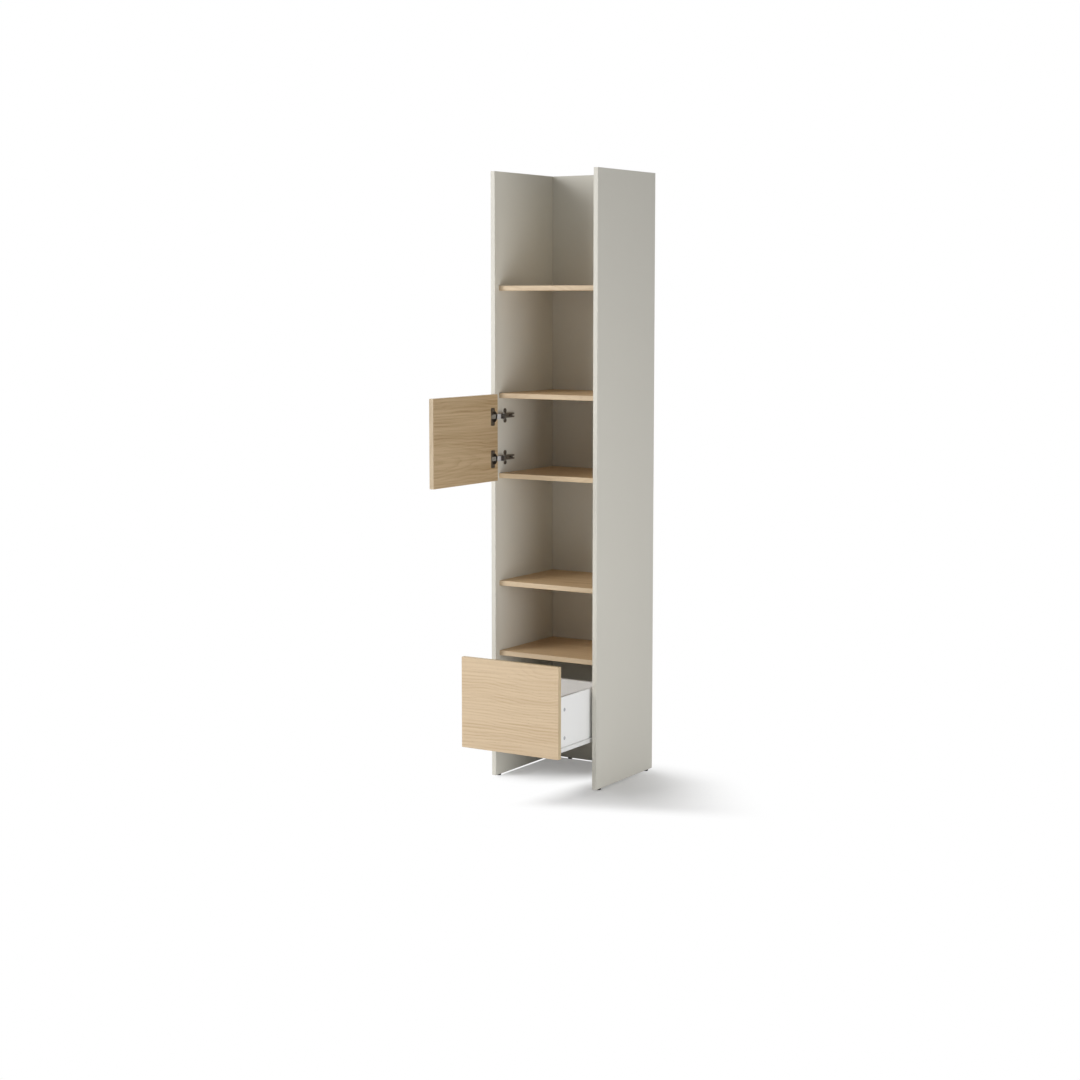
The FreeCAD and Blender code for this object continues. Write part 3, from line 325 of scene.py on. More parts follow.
# %% Group: worked metal
worked, start, end = new_group(
    "worked metal",
    [("Vector", "Vector", (0, 0, 0)), ("Line size", "Float", 0.0003), ("Cloud size", "Float", 0.006)],
    [("Lines", "Float"), ("Clouds", "Float")],
)
line_squeeze = 0.04
fine = calculate(worked, "DIVIDE", 1.0, start.outputs["Line size"])
lengthwise = calculate(worked, "MULTIPLY", fine, line_squeeze)
scales = add_node(worked, "ShaderNodeCombineXYZ", {0: fine, 1: lengthwise, 2: fine})
inputs = {"Vector": start.outputs["Vector"], "Scale": scales.outputs[0]}
squeezed = add_node(worked, "ShaderNodeMapping", inputs)
cloud_scale = calculate(worked, "DIVIDE", 1.0, start.outputs["Cloud size"])
worked.links.new(add_noise(worked, squeezed.outputs[0], 1.0, 2.0), end.inputs["Lines"])
worked.links.new(add_noise(worked, start.outputs["Vector"], cloud_scale, 3.0, 0.6), end.inputs["Clouds"])
print("worked metal has", len(worked.nodes), "nodes")

# %% [markdown]
# ## A material to start from
# Each finish begins alike: a Principled shader, and the object's own coordinates, which stay with a
# piece when it moves. The helper makes those, and the finish adds what is its own.


# %% New material, bump and group nodes
def new_material(name, roughness):
    """A material, its node tree, its shader and its object coordinates."""
    material = bpy.data.materials.new(name)
    material.use_nodes = True
    tree = material.node_tree
    shader = tree.nodes["Principled BSDF"]
    shader.inputs["Roughness"].default_value = roughness
    coordinates = tree.nodes.new("ShaderNodeTexCoord").outputs["Object"]
    return material, tree, shader, coordinates


def add_bump(tree, shader, height, distance, strength=0.5):
    """Raises the surface by a height that a socket gives, over a distance."""
    made = add_node(tree, "ShaderNodeBump", {"Height": height, "Distance": distance, "Strength": strength})
    tree.links.new(made.outputs[0], shader.inputs["Normal"])


def place_group(tree, group, inputs):
    """A shared effect placed in a material with its own values."""
    return add_node(tree, "ShaderNodeGroup", inputs, node_tree=group)


def give(material, *names):
    """Puts a finish on solids of the frame."""
    for name in names:
        for slot in nodes[name].material_slots:
            slot.material = material


print("materials start from object coordinates")

# %% [markdown]
# ## Greige laminate
# The three tall panels wear a matt, warm grey laminate. Seen close it has a fine pearl tooth and a
# faint hairline where the edge band meets the face. Each panel gets its own copy of the finish, because
# the hairline follows that panel's own corners. The colour itself stays the same.

# %% Greige panels
board_gloss = 0.35


def corners(name):
    """The lowest and highest corner of a solid, and its thinnest direction."""
    low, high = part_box(name)
    span = high - low
    thin = [0.0, 0.0, 0.0]
    thin[min(range(3), key=lambda axis: span[axis])] = 1.0
    return low, high, thin


def laminate(name, colour, tooth_size, bump, roughness):
    """A matt laminate with its edge band joint, for one board."""
    low, high, thin = corners(name)
    material, tree, shader, coordinates = new_material(f"laminate_{name}", roughness)
    surface = place_group(tree, tooth, {"Vector": coordinates, "Grain size": tooth_size, "Drift size": 0.35})
    banded = place_group(tree, edges, {"Vector": coordinates, "Low": low, "High": high, "Thin axis": thin})
    joint = banded.outputs["Joint line"]

    darkest, drift_swing, drift_middle, joint_strength = 0.86, 0.10, 0.05, 0.55
    drift = calculate(tree, "ADD", swing(tree, surface.outputs["Drift"], drift_swing), drift_middle)
    base = blend(tree, drift, colour, [amount * darkest for amount in colour[:3]] + [1.0])
    base = blend(tree, calculate(tree, "MULTIPLY", joint, joint_strength), base, seen(96, 90, 80))
    tree.links.new(base, shader.inputs["Base Color"])

    grit_swing, handled_polish, bump_strength = 0.16, -0.10, 0.6
    polish = calculate(tree, "MULTIPLY", banded.outputs["Handled edge"], handled_polish)
    change = calculate(tree, "ADD", swing(tree, surface.outputs["Tooth"], grit_swing), polish)
    tree.links.new(calculate(tree, "ADD", change, roughness), shader.inputs["Roughness"])
    height = calculate(tree, "SUBTRACT", surface.outputs["Tooth"], joint)
    add_bump(tree, shader, height, bump, bump_strength)
    shader.inputs["Specular IOR Level"].default_value = board_gloss
    give(material, name)


greige = seen(216, 213, 203)
panels = ("left_side_panel", "right_side_panel", "back_panel")
for name in panels:
    laminate(name, greige, tooth_size=0.0007, bump=0.00006, roughness=0.55)
print("greige laminate on", len(panels), "panels")

# %% [markdown]
# ## White laminate
# The drawer box is made of thinner boards in plain white. It is the same kind of surface, so the same
# function serves, with a finer tooth.

# %% White drawer box
white = seen(250, 250, 249)
for name in ("drawer_left_side", "drawer_right_side", "drawer_back", "drawer_bottom"):
    laminate(name, white, tooth_size=0.0005, bump=0.00004, roughness=0.50)
print("white laminate on the drawer box")

# %% [markdown]
# ## Oak boards
# Shelves, door and drawer front are veneered in pale oak with the grain across the cabinet. Cutting
# every board from one pattern at one place would give them the same arches, so each is turned and moved
# inside the pattern, as if the sheets came from different parts of the trunk. The narrow ends are
# banded, and there the grain runs along the band. On most boards the band is a shade greyer than the
# veneer. On the third shelf it is paler, painted light against the door's shadow, and on the drawer
# front it is darker, painted shade on its narrow edges.

# %% Coordinates along the grain
band_reach = 0.0009


def along_the_grain(tree, coordinates, low, high, thin, run):
    """A board's coordinates with the grain first, turned along the band on its two ends."""
    inputs = {0: coordinates, 1: (low + high) / 2}
    centred = add_node(tree, "ShaderNodeVectorMath", inputs, operation="SUBTRACT")
    apart = add_node(tree, "ShaderNodeSeparateXYZ", {0: centred.outputs[0]}).outputs
    along = "XYZ".index(run)
    deep = max(range(3), key=lambda axis: thin[axis])
    wide = 3 - along - deep
    ordered = add_node(tree, "ShaderNodeCombineXYZ", {0: apart[along], 1: apart[wide], 2: apart[deep]})
    banding = add_node(tree, "ShaderNodeCombineXYZ", {0: apart[wide], 1: apart[deep], 2: apart[along]})
    reach = (high[along] - low[along]) / 2 - band_reach
    at_end = calculate(tree, "GREATER_THAN", calculate(tree, "ABSOLUTE", apart[along]), reach)
    chosen = add_node(tree, "ShaderNodeMix", data_type="VECTOR")
    for index, value in ((0, at_end), (4, ordered.outputs[0]), (5, banding.outputs[0])):
        tree.links.new(value, chosen.inputs[index])
    return chosen.outputs[1]


print("the band turns the grain on the last", band_reach * 1000, "mm")


# %% Oak finish
def oak_finish(name, run, shift, turn=0.0, pale=(217, 188, 149), late=(182, 147, 103), band=0.30,
               band_colour_and_painted_light=(202, 198, 183), **figure):
    """An oak veneer for one board, with its grain along the given axis."""
    low, high, thin = corners(name)
    material, tree, shader, coordinates = new_material(f"oak_{name}", 0.5)
    grain = along_the_grain(tree, coordinates, low, high, thin, run)
    inputs = {"Vector": grain, "Location": shift, "Rotation": (0.0, 0.0, math.radians(turn))}
    placed = add_node(tree, "ShaderNodeMapping", inputs)
    inputs = {"Vector": placed.outputs[0], "Pale wood": seen(*pale), "Late wood": seen(*late)}
    veneer = place_group(tree, oak, inputs | figure)
    banded = place_group(tree, edges, {"Vector": coordinates, "Low": low, "High": high, "Thin axis": thin})
    joint = banded.outputs["Joint line"]

    joint_strength, handled_polish, bump, bump_strength = 0.5, -0.08, 0.00008, 0.7
    # The band colour is a real tone on most boards, and painted light and shade on the third shelf and the
    # drawer front.
    on_band = calculate(tree, "MULTIPLY", banded.outputs["On the band"], band)
    base = blend(tree, on_band, veneer.outputs["Colour"], seen(*band_colour_and_painted_light))
    base = blend(tree, calculate(tree, "MULTIPLY", joint, joint_strength), base, seen(120, 92, 62))
    tree.links.new(base, shader.inputs["Base Color"])
    polish = calculate(tree, "MULTIPLY", banded.outputs["Handled edge"], handled_polish)
    tree.links.new(calculate(tree, "ADD", veneer.outputs["Polish"], polish), shader.inputs["Roughness"])
    height = calculate(tree, "SUBTRACT", veneer.outputs["Relief"], joint)
    add_bump(tree, shader, height, bump, bump_strength)
    shader.inputs["Specular IOR Level"].default_value = board_gloss
    give(material, name)


print("an oak finish takes its own place in the pattern")

# %% Seven oak boards
oak_finish("shelf_1", "X", (0.31, 0.12, 0.02))
oak_finish("shelf_2", "X", (1.17, -0.17, 0.03))
# Painted light: the paler band lifts the door's shadow off this shelf's front edge.
oak_finish("shelf_3", "X", (2.43, 0.15, -0.01), band=0.60, band_colour_and_painted_light=(243, 222, 189))
oak_finish("shelf_4", "X", (3.71, 0.09, 0.02), turn=1.5)
oak_finish("shelf_5", "X", (4.93, -0.13, 0.03), turn=-1.0)
# Painted shade: the darker band dims the drawer front's narrow edges, to match its end that faces the side
# lamp.
oak_finish("drawer_front", "X", (7.85, -0.16, 0.02), turn=-1.0, pale=(222, 200, 169), late=(180, 149, 110),
           band=0.50, band_colour_and_painted_light=(184, 165, 122), Figure=0.38, Streaks=0.34)
oak_finish("door_panel", "Y", (0.40, 0.062, -0.0133), turn=0.5, pale=(207, 182, 146), late=(158, 128, 88),
           Figure=0.50, Streaks=0.50, Dive=0.03, Arch=0.07)
print("oak on seven boards")

# %% [markdown]
# ## Plated and cast fittings
# The axles and bolts are bright nickel over steel, and the hinges' outer links have a satin one. The
# hinge arms and their pins are a mid grey, the plates and cups are browner and darker, and the inner
# links and the hinge screws are the darkest. The cams are cast zinc, pale and cloudy. All are metals, so
# they differ in colour, in how sharp their reflections are, and in how the lines and clouds show.


# %% Metals
def metal(title, colour, dull, roughness, spread, line_size, cloud_size, bump, names):
    """A plated or cast metal finish on several solids."""
    material, tree, shader, coordinates = new_material(title, roughness)
    shader.inputs["Metallic"].default_value = 1.0
    inputs = {"Vector": coordinates, "Line size": line_size, "Cloud size": cloud_size}
    surface = place_group(tree, worked, inputs)
    clouds = surface.outputs["Clouds"]
    tree.links.new(blend(tree, clouds, seen(*colour), seen(*dull)), shader.inputs["Base Color"])
    change = swing(tree, clouds, spread)
    tree.links.new(calculate(tree, "ADD", change, roughness), shader.inputs["Roughness"])
    add_bump(tree, shader, surface.outputs["Lines"], bump)
    give(material, *names)
    return material


bright_names = (
    "shelf_cam_bolts", "back_panel_cam_bolts", "drawer_front_cam_bolts", "drawer_back_screws",
    "front_roller_axles", "rear_roller_axles", "cabinet_rail_screws", "drawer_rail_screws",
)
satin_names = ("upper_hinge_outer_link", "lower_hinge_outer_link")
dull_names = (
    "upper_hinge_inner_link", "lower_hinge_inner_link", "hinge_cup_screws", "hinge_plate_screws",
    "hinge_adjusting_screws",
)
arm_names = ("upper_hinge_arm", "lower_hinge_arm", "hinge_link_pins")
dark_names = ("upper_hinge_cup", "lower_hinge_cup", "upper_hinge_plate", "lower_hinge_plate")
cam_names = ("shelf_cams", "back_panel_cams", "drawer_front_cams")

# Colour, duller colour, roughness, its spread, size of the lines, size of the clouds, bump, solids.
metals = {
    "bright_nickel": ((230, 226, 218), (206, 200, 190), 0.46, 0.20, 0.0003, 0.005, 0.00002, bright_names),
    "satin_nickel": ((218, 218, 220), (202, 202, 204), 0.76, 0.16, 0.0003, 0.005, 0.00002, satin_names),
    "dull_nickel": ((120, 116, 109), (99, 95, 87), 0.54, 0.20, 0.0003, 0.004, 0.00002, dull_names),
    "arm_nickel": ((160, 154, 147), (130, 125, 118), 0.50, 0.20, 0.0004, 0.006, 0.00003, arm_names),
    "dark_nickel": ((135, 125, 113), (107, 98, 87), 0.50, 0.20, 0.0004, 0.006, 0.00003, dark_names),
    "cast_zinc": ((196, 197, 200), (164, 165, 169), 0.46, 0.30, 0.0009, 0.003, 0.00005, cam_names),
}
finishes = {title: metal(title, *row) for title, row in metals.items()}
print("metals on", sum(len(row[-1]) for row in metals.values()), "solids")

# %% [markdown]
# ## The links' shaded ends
# Half of each outer link turns inside the arm, where the arm shades it, and that shade is painted into the
# plating's colour. A second material would cut the link in two with a hard line. So its own finish fades
# along the link instead, by the link's own coordinates, which run rearward along Y and stay with it when the
# door swings.

# %% Painted shade on the link ends
still_bright, fully_dark = 0.002, 0.008
tree = finishes["satin_nickel"].node_tree
shader = tree.nodes["Principled BSDF"]
plating = shader.inputs["Base Color"].links[0].from_socket
rearward = add_node(tree, "ShaderNodeSeparateXYZ", {0: tree.nodes["Texture Coordinate"].outputs["Object"]})
# Painted shade: the link's colour darkens rearward, where the arm's shadow falls on it.
painted_arm_shade = fade_over(tree, rearward.outputs["Y"], still_bright, fully_dark, "SMOOTHSTEP")
tree.links.new(blend(tree, painted_arm_shade, plating, seen(84, 80, 76)), shader.inputs["Base Color"])
print("the links darken behind the cabinet's front edge")

# %% [markdown]
# ## Enamel, nylon and black plastic
# The runners are pressed steel under white enamel, which pools a little and has a slight orange peel.
# The rollers are natural nylon, milky and smooth. The glides are matt black plastic.


# %% Coated and moulded pieces
def coated(title, colour, shade, roughness, tooth_size, bump, specular, names):
    """An enamel or a moulded plastic on several solids."""
    material, tree, shader, coordinates = new_material(title, roughness)
    surface = place_group(tree, tooth, {"Vector": coordinates, "Grain size": tooth_size, "Drift size": 0.05})
    drift, gloss_swing = surface.outputs["Drift"], 0.2
    tree.links.new(blend(tree, drift, seen(*colour), seen(*shade)), shader.inputs["Base Color"])
    change = swing(tree, drift, gloss_swing)
    tree.links.new(calculate(tree, "ADD", change, roughness), shader.inputs["Roughness"])
    add_bump(tree, shader, surface.outputs["Tooth"], bump)
    shader.inputs["Specular IOR Level"].default_value = specular
    give(material, *names)
    return material


rails = ("left_cabinet_rail", "right_cabinet_rail", "left_drawer_rail", "right_drawer_rail")
rollers = ("left_front_roller", "right_front_roller", "left_rear_roller", "right_rear_roller")
glides = ("side_panel_glides", "back_panel_glides")

# Colour, its shade, roughness, size of the tooth, bump, gloss, solids.
coatings = {
    "white_enamel": ((240, 240, 238), (230, 230, 228), 0.30, 0.0016, 0.00005, 0.5, rails),
    "roller_nylon": ((228, 228, 222), (216, 215, 208), 0.38, 0.0006, 0.00003, 0.45, rollers),
    "black_plastic": ((22, 22, 21), (31, 30, 29), 0.52, 0.0005, 0.00004, 0.25, glides),
}
finishes |= {title: coated(title, *row) for title, row in coatings.items()}
print("the fittings wear", len(finishes), "finishes")

# %% [markdown]
# ## Modelling by hand
# The fittings deserve closer shapes than plain solids: drawn steel has soft lips, stamped steel has
# rounded edges, and a moulded roller has a hub. They are modelled with the same tools as in the window:
# a primitive, then extrude, inset and bevel in edit mode. An operator works on all that is selected, so
# one helper clears the selection, and another picks faces or edges by where they lie.

# %% Picking
import bmesh


def clear_selection():
    """Leaves object mode with nothing selected."""
    if bpy.context.object and bpy.context.object.mode != "OBJECT":
        bpy.ops.object.mode_set(mode="OBJECT")
    for item in bpy.context.selected_objects:
        item.select_set(False)


def take(piece):
    """Selects one piece alone and makes it active."""
    clear_selection()
    piece.select_set(True)
    bpy.context.view_layer.objects.active = piece


def pick(kind, test):
    """Selects the faces or edges of the edited mesh whose middle passes a test."""
    bpy.ops.mesh.select_all(action="DESELECT")
    bpy.ops.mesh.select_mode(type=kind)
    shape = bmesh.from_edit_mesh(bpy.context.object.data)
    for part in {"EDGE": shape.edges, "FACE": shape.faces}[kind]:
        middle = sum((corner.co for corner in part.verts), Vector()) / len(part.verts)
        if test(middle, part):
            part.select_set(True)
    bmesh.update_edit_mesh(bpy.context.object.data)


print("parts are picked by where they lie")

# %% Copying and finishing
smooth_angle = math.radians(32)


def place_mesh(name, mesh):
    """A new piece of the scene with a mesh of its own."""
    piece = bpy.data.objects.new(name, mesh.copy())
    bpy.context.scene.collection.objects.link(piece)
    return piece


def apply_all(piece):
    """Applies every modifier of a piece."""
    take(piece)
    for modifier in list(piece.modifiers):
        bpy.ops.object.modifier_apply(modifier=modifier.name)


def dress(piece, name, material, body, replaced):
    """Places a finished piece: name, smooth faces, finish, and the body and solids it stands for."""
    take(piece)
    bpy.ops.object.transform_apply(location=True, rotation=True, scale=True)
    bpy.ops.object.shade_smooth_by_angle(angle=smooth_angle)
    true_flats = piece.modifiers.new("true flats", "WEIGHTED_NORMAL")
    true_flats.keep_sharp = True
    apply_all(piece)
    piece.name = piece.data.name = name
    piece.data.materials.clear()
    piece.data.materials.append(material)
    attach(piece, body)
    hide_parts(replaced)
    print(name, "has", len(piece.data.polygons), "faces")


print("modelling helpers are ready")

# %% [markdown]
# ## Hinge cups
# A hinge cup is drawn from one sheet of steel: a round pot with a flat floor that fills the bore in the
# door, a thin lip, and a flange that carries two screws. The pot starts as a filled circle on the door's
# face. Insetting and extruding it gives the lip, the wall and the floor. The flange is a box with
# rounded corners, cut round the pot and then joined with it.

# %% The pot's sizes
door_face = -0.170
cup_middle = Vector((door_face, -0.028, 1.194))
along_x = (0.0, math.pi / 2, 0.0)
round_steps = 64
lip_radius, lip_height, lip_width = 0.0187, 0.0012, 0.0022
inside_radius, shoulder = lip_radius - lip_width, 0.0012
inside_depth, outside_depth = 0.0105, 0.0115
dish_inset, dish_depth = 0.0030, 0.0004
lip_rounding, floor_rounding = 0.0004, 0.0018
hair = 0.0001


def push(distance):
    """Extrudes the picked faces along X."""
    bpy.ops.mesh.extrude_region_move(TRANSFORM_OT_translate={"value": (distance, 0.0, 0.0)})


def on_circle(point, radius):
    """Whether a point lies at this distance from the cup's axis."""
    from_axis = math.hypot(point.y - cup_middle.y, point.z - cup_middle.z)
    return abs(from_axis - radius) < 2 * hair


print("the pot is", round(2 * inside_radius * 1000, 1), "mm wide inside")

# %% The pot
clear_selection()
bpy.ops.mesh.primitive_cylinder_add(
    vertices=round_steps, radius=lip_radius, depth=lip_height, end_fill_type="NGON",
    location=cup_middle + Vector((lip_height / 2, 0.0, 0.0)), rotation=along_x,
)
pot = bpy.context.object
bpy.ops.object.transform_apply(location=True, rotation=True, scale=True)
bpy.ops.object.mode_set(mode="EDIT")
pick("FACE", lambda middle, face: face.normal.x > 0.9)
bpy.ops.mesh.inset(thickness=lip_width)
push(-lip_height - inside_depth)
bpy.ops.mesh.inset(thickness=dish_inset)
push(-dish_depth)
pick("FACE", lambda middle, face: face.normal.x < -0.9 and middle.x > door_face - 2 * hair)
bpy.ops.mesh.inset(thickness=shoulder)
push(-outside_depth)
pick("EDGE", lambda middle, edge: middle.x > door_face + lip_height - hair and (
    on_circle(middle, lip_radius) or on_circle(middle, inside_radius)))
bpy.ops.mesh.bevel(offset=lip_rounding, segments=3, affect="EDGES")
pick("EDGE", lambda middle, edge: abs(middle.x - door_face + inside_depth) < hair
     and on_circle(middle, inside_radius))
bpy.ops.mesh.bevel(offset=floor_rounding, segments=4, affect="EDGES")
bpy.ops.object.mode_set(mode="OBJECT")
print("the pot has", len(pot.data.polygons), "faces")

# %% The flange, cut round the pot
flange_thick, flange_wide, flange_high, flange_y = 0.0011, 0.0222, 0.058, -0.0357
corner_radius, flange_rounding = 0.0040, 0.0004
punch_radius, punch_depth = 0.0178, 0.02
clear_selection()
bpy.ops.mesh.primitive_cube_add(
    size=1.0, location=(door_face + flange_thick / 2, flange_y, cup_middle.z),
    scale=(flange_thick, flange_wide, flange_high),
)
flange = bpy.context.object
bpy.ops.object.transform_apply(location=True, rotation=True, scale=True)
bpy.ops.object.mode_set(mode="EDIT")
pick("EDGE", lambda middle, edge: abs(edge.verts[0].co.x - edge.verts[1].co.x) > flange_thick / 2)
bpy.ops.mesh.bevel(offset=corner_radius, segments=6, affect="EDGES")
pick("FACE", lambda middle, face: face.normal.x > 0.9)
bpy.ops.mesh.bevel(offset=flange_rounding, segments=2, affect="EDGES")
bpy.ops.object.mode_set(mode="OBJECT")
clear_selection()
bpy.ops.mesh.primitive_cylinder_add(
    vertices=round_steps, radius=punch_radius, depth=punch_depth, location=cup_middle, rotation=along_x
)
punch = bpy.context.object
for piece, tool, operation in ((flange, punch, "DIFFERENCE"), (pot, flange, "UNION")):
    made = piece.modifiers.new("join", "BOOLEAN")
    made.operation = operation
    made.object = tool
    apply_all(piece)
for tool in (flange, punch):
    bpy.data.objects.remove(tool)
print("pot and flange together have", len(pot.data.polygons), "faces")

# %% A cup on each hinge
hinge_spacing = 0.137
for level, drop in (("upper", 0.0), ("lower", hinge_spacing)):
    cup = place_mesh(level, pot.data)
    cup.location.z = -drop
    dress(cup, f"{level}_cup_drawn", finishes["dark_nickel"], "door", f"{level}_hinge_cup")
bpy.data.objects.remove(pot)

# %% [markdown]
# ## Rollers
# A runner's roller is moulded nylon: a rounded tread, a thinner web between tread and hub, and a bore
# for its axle. One is modelled from a cylinder: both flat faces are inset and pushed in for the web,
# inset again for the hub, and the last faces are bridged, which opens the bore. It is then copied to
# each of the four places.

# %% One roller
tread, wide, bore, tread_rounding = 0.010, 0.007, 0.00205, 0.0009
rim, rim_slope, web, hub_slope, web_depth = 0.0012, 0.0003, 0.0032, 0.0002, 0.0012
hub = tread - tread_rounding - rim - rim_slope - web - hub_slope - bore
clear_selection()
bpy.ops.mesh.primitive_cylinder_add(
    vertices=round_steps, radius=tread, depth=wide, end_fill_type="NGON", location=(0.0, 0.0, 0.0),
    rotation=along_x,
)
roller = bpy.context.object
bpy.ops.object.transform_apply(location=True, rotation=True, scale=True)
bpy.ops.object.mode_set(mode="EDIT")
pick("EDGE", lambda middle, edge: abs(edge.verts[0].co.x - edge.verts[1].co.x) < hair)
bpy.ops.mesh.bevel(offset=tread_rounding, segments=4, affect="EDGES")
pick("FACE", lambda middle, face: abs(face.normal.x) > 0.9 and math.hypot(middle.y, middle.z) < hair)
for inset, rise in ((rim, 0.0), (rim_slope, -web_depth), (web, 0.0), (hub_slope, web_depth), (hub, 0.0)):
    bpy.ops.mesh.inset(thickness=inset, depth=rise, use_individual=True)
bpy.ops.mesh.bridge_edge_loops()
bpy.ops.object.mode_set(mode="OBJECT")
print("one roller has", len(roller.data.polygons), "faces")

# %% Four rollers
for name in rollers:
    low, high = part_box(name)
    copy = place_mesh(name, roller.data)
    copy.location = (low + high) / 2
    dress(copy, f"{name}_moulded", finishes["roller_nylon"], name, name)
bpy.data.objects.remove(roller)

# %% [markdown]
# ## Stamped steel
# The hinge arms, plates and links and the runners are stamped from sheet. The solids already have their
# shapes, with edges as sharp as drawn. A stamped edge is rounded by the tool and catches a thin line of
# light. Modelling the shapes again would gain nothing, so each is copied, its loose triangles are merged
# into clean faces, and a bevel rounds every sharp edge by a fraction of a millimetre.

# %% Rounded copies
same_place, same_plane, sharp_angle = 0.000005, math.radians(1.0), math.radians(35)


def merged_copy(node, name):
    """A copy of a solid whose loose triangles are merged into clean faces, left in edit mode."""
    piece = place_mesh(name, nodes[node].data)
    take(piece)
    bpy.ops.object.mode_set(mode="EDIT")
    bpy.ops.mesh.select_all(action="SELECT")
    bpy.ops.mesh.remove_doubles(threshold=same_place)
    bpy.ops.mesh.dissolve_limited(angle_limit=same_plane)
    return piece


def round_edges(node, name, material, body, width):
    """A copy of a solid with its sharp edges rounded, in the solid's place."""
    piece = merged_copy(node, name)
    bpy.ops.object.mode_set(mode="OBJECT")
    made = piece.modifiers.new("stamped edge", "BEVEL")
    made.width = width
    made.segments = 2
    made.limit_method = "ANGLE"
    made.angle_limit = sharp_angle
    apply_all(piece)
    dress(piece, name, material, body, node)


print("two faces count as one plane within", round(math.degrees(same_plane), 1), "degree")

# %% Hinges and runners
for level in ("upper", "lower"):
    # Solid, new name, finish, slot, body, and how far its edges are rounded.
    for solid, new, finish, slot, body, width in (
        ("arm", "arm", "arm_nickel", "dark_nickel", "cabinet", 0.0005),
        ("plate", "plate", "dark_nickel", "dark_nickel", "cabinet", 0.0004),
        ("outer_link", "link", "satin_nickel", "bright_steel", f"{level}_hinge_link", 0.0003),
        ("inner_link", "inner_link", "dull_nickel", "bright_steel", "door", 0.0003),
    ):
        round_edges(f"{level}_hinge_{solid}", f"{level}_{new}_stamped", finishes[finish], body, width)
for side in ("left", "right"):
    for body in ("cabinet", "drawer"):
        rail = f"{side}_{body}_rail"
        round_edges(rail, f"{rail}_rolled", finishes["white_enamel"], body, 0.0003)

# %% [markdown]
# ## Eased board edges
# A banded board leaves the machine with its edges eased by a fine cutter, because a sharp laminate edge
# chips. The eased edge catches a thin line of light, which tells the eye that a board is real. The bevel
# modifier would round the drilled holes too, and those stay sharp. So the twelve outer edges are picked
# by where they lie, on two sides of the board's box at once, and only they get the bevel tool.

# %% Eased boards
easing, on_side = 0.0006, 0.00002


def ease_board(node, body):
    """A copy of a board with its outer edges eased, in the board's place."""
    low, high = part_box(node)
    piece = merged_copy(node, f"{node}_eased")

    def outer(middle, edge):
        """An edge that lies on two sides of the board's box."""
        apart = sorted(min(middle[axis] - low[axis], high[axis] - middle[axis]) for axis in range(3))
        return apart[1] < on_side

    pick("EDGE", outer)
    bpy.ops.mesh.bevel(offset=easing, segments=3, affect="EDGES")
    bpy.ops.object.mode_set(mode="OBJECT")
    dress(piece, f"{node}_eased", nodes[node].material_slots[0].material, body, node)


for name in panels:
    ease_board(name, "cabinet")
for number in range(1, 6):
    ease_board(f"shelf_{number}", "cabinet")
ease_board("door_panel", "door")
ease_board("drawer_front", "drawer")

# %% [markdown]
# ## The studio
# A plain pale floor carries the soft shadow and throws light back up at the lower boards. In two soft
# patches, one between the panels and one where the cabinet's shadow falls, it is a real, shaded surface.
# Outside them it fades to pure white, so that no horizon shows. The inner patch stops under the left and
# back panels, which makes the thin gap below them read as a bright line. The patches lie on the floor
# and not in the picture, so they hold from every side. Only what the camera or a reflection sees is
# whitened. The light that the floor gives back stays true. A camera below the floor looks through its
# back, so the glides and the undersides can be inspected too.


# %% What only the eye sees
def eye_rays(tree):
    """One for rays from the camera, a reflection or clear glass, zero for light on surfaces."""
    paths = tree.nodes.new("ShaderNodeLightPath").outputs
    both = calculate(tree, "MAXIMUM", paths["Is Camera Ray"], paths["Is Glossy Ray"])
    return calculate(tree, "MAXIMUM", both, paths["Is Transmission Ray"])


def mix_shaders(tree, factor, first, second):
    """Two shaders mixed by a factor."""
    return add_node(tree, "ShaderNodeMixShader", {0: factor, 1: first, 2: second}).outputs[0]


def soft_patch(tree, coordinates, strength, sides):
    """A mask on the floor that fills up over each of its sides. A side has a direction inwards."""
    mask = strength
    for across, back, ends, fills in sides:
        inputs = {0: coordinates, 1: (across, back, 0.0)}
        inwards = add_node(tree, "ShaderNodeVectorMath", inputs, operation="DOT_PRODUCT")
        edge = fade_over(tree, inwards.outputs["Value"], ends, fills, "SMOOTHSTEP")
        mask = calculate(tree, "MULTIPLY", edge, mask)
    return mask


print("whitening is limited to what is looked at")

# %% The floor and its two patches
floor_radius = 14.0
cast_strength, inner_strength = 0.88, 0.782
left_end, right_end, rear_end = -0.186, 0.19, 0.362
# Each side: its direction inwards along X and Y, and how far along it the patch ends and is full.
cast_sides = (
    (-0.330, 0.944, -0.338, -0.180),
    (0.996, -0.088, 0.060, 0.200),
    (-0.807, -0.591, -0.678, -0.241),
    (-0.013, -1.000, -0.486, -0.264),
)
inner_sides = ((-0.656, 0.754, -0.032, 0.172), (0.267, 0.964, -0.091, 0.044))

clear_selection()
bpy.ops.mesh.primitive_circle_add(
    vertices=96, radius=floor_radius, fill_type="NGON", location=(0.0, 0.0, 0.0)
)
floor = bpy.context.object
floor.name = "studio_floor"
material, tree, shader, coordinates = new_material("pale_floor", 0.9)
shader.inputs["Specular IOR Level"].default_value = 0.1
shader.inputs["Base Color"].default_value = seen(248, 248, 248)
cast_shadow = soft_patch(tree, coordinates, cast_strength, cast_sides)
inner_shadow = soft_patch(tree, coordinates, inner_strength, inner_sides)
spot = add_node(tree, "ShaderNodeSeparateXYZ", {0: coordinates})
for operation, axis, limit in (
    ("GREATER_THAN", 0, left_end), ("LESS_THAN", 0, right_end), ("LESS_THAN", 1, rear_end)
):
    between = calculate(tree, operation, spot.outputs[axis], limit)
    inner_shadow = calculate(tree, "MULTIPLY", inner_shadow, between)
print("the floor keeps its shadow in two patches")

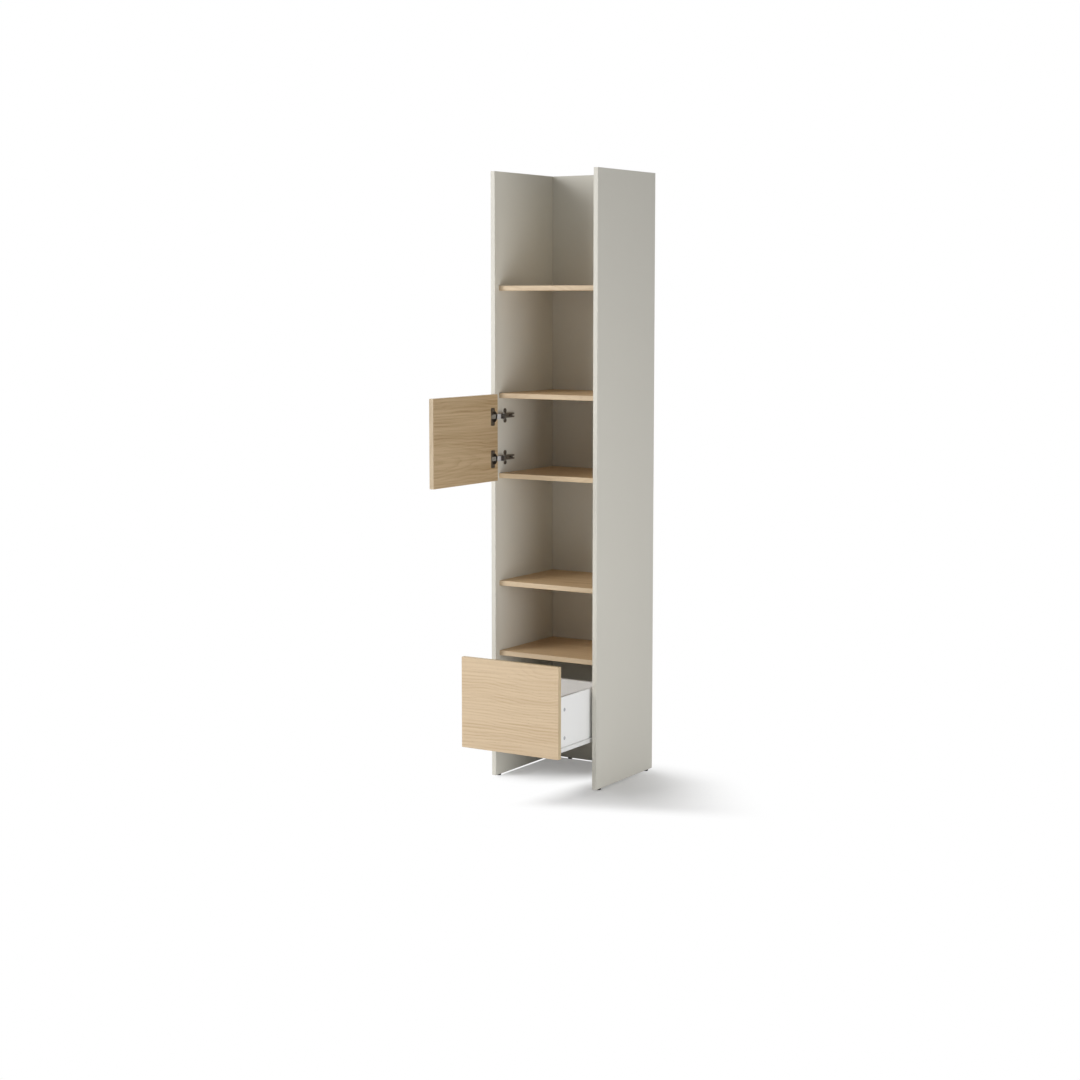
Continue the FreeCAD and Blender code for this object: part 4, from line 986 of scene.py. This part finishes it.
# %% White for the eye, clear from below
light_white = (1.0, 1.0, 1.0, 1.0)
fade = calculate(tree, "SUBTRACT", 1.0, calculate(tree, "MAXIMUM", cast_shadow, inner_shadow))
whitened = calculate(tree, "MULTIPLY", fade, eye_rays(tree))
plain = add_node(tree, "ShaderNodeEmission", {"Color": light_white, "Strength": 1.0})
seen_above = mix_shaders(tree, whitened, shader.outputs[0], plain.outputs[0])
under = add_node(tree, "ShaderNodeNewGeometry").outputs["Backfacing"]
looked_at = add_node(tree, "ShaderNodeLightPath").outputs["Is Camera Ray"]
from_below = calculate(tree, "MULTIPLY", under, looked_at)
clear = add_node(tree, "ShaderNodeBsdfTransparent")
shown = mix_shaders(tree, from_below, seen_above, clear.outputs[0])
tree.links.new(shown, tree.nodes["Material Output"].inputs["Surface"])
floor.data.materials.append(material)
print("the floor is white where it fades out")

# %% [markdown]
# ## Light
# The soft, even light of a product picture comes from several large lamps. The main one stands at the
# left of the camera and lights the fronts. A weaker, low one at the right lights the side panel and
# the drawer's side, more towards the floor, and leaves the rear of the bays dim. A third, high behind
# the left side, lights the floor and draws the soft shadow forward and to the right. The world fills
# in the rest, and looks plain white to the camera and to shiny metal.

# %% World
ambient_strength, backdrop_strength = 0.22, 1.0
world = bpy.data.worlds.new("soft_surroundings")
bpy.context.scene.world = world
world.use_nodes = True
tree = world.node_tree
tree.nodes.clear()
ambient, backdrop = (
    add_node(tree, "ShaderNodeBackground", {"Color": light_white, "Strength": strength}).outputs[0]
    for strength in (ambient_strength, backdrop_strength)
)
output = tree.nodes.new("ShaderNodeOutputWorld")
tree.links.new(mix_shaders(tree, eye_rays(tree), ambient, backdrop), output.inputs["Surface"])
print("the world gives", ambient_strength, "of full light")

# %% Lamps
aim = Vector((0.0, 0.0, 0.9))


def add_lamp(name, place, size, power):
    """A square soft lamp at a place, turned towards the middle of the cabinet."""
    light = bpy.data.lights.new(name, "AREA")
    light.shape = "SQUARE"
    light.size = size
    light.energy = power
    lamp = bpy.data.objects.new(name, light)
    bpy.context.scene.collection.objects.link(lamp)
    lamp.location = place
    lamp.rotation_euler = (aim - Vector(place)).to_track_quat("-Z", "Y").to_euler()
    lamp.visible_camera = False
    print(name, "gives", power, "W")


add_lamp("main_lamp", (-2.6, -3.2, 2.6), size=2.4, power=138.0)
add_lamp("side_lamp", (2.75, -1.0, 0.7), size=1.6, power=34.0)
add_lamp("rear_lamp", (-2.0, 1.6, 4.0), size=2.4, power=55.0)

# %% [markdown]
# ## The camera
# The picture was taken from the right, at about the height of the second shelf, through a long lens.
# Tilting the camera slightly down makes every edge of the cabinet fall within a few pixels of where it
# does in the picture. The image is square, 1080 pixels a side, and the lens is shifted by two percent
# of it.

# %% Camera
image_side, focal_pixels, middle_row = 1080, 2041.0, 518.4
tilt_down, turn_left = 0.10801, 0.55838
camera_data = bpy.data.cameras.new("picture_camera")
camera_data.sensor_width = 36.0
camera_data.lens = camera_data.sensor_width * focal_pixels / image_side
camera_data.shift_y = (middle_row - image_side / 2) / image_side
camera = bpy.data.objects.new("picture_camera", camera_data)
bpy.context.scene.collection.objects.link(camera)
camera.location = (3.4474, -5.5387, 1.5783)
camera.rotation_euler = (math.pi / 2 - tilt_down, 0.0, turn_left)
bpy.context.scene.camera = camera
bpy.context.scene.view_settings.view_transform = "Standard"
print("lens", round(camera_data.lens, 1), "mm, shift", round(camera_data.shift_y, 3))

# %% [markdown] ## End of the scene
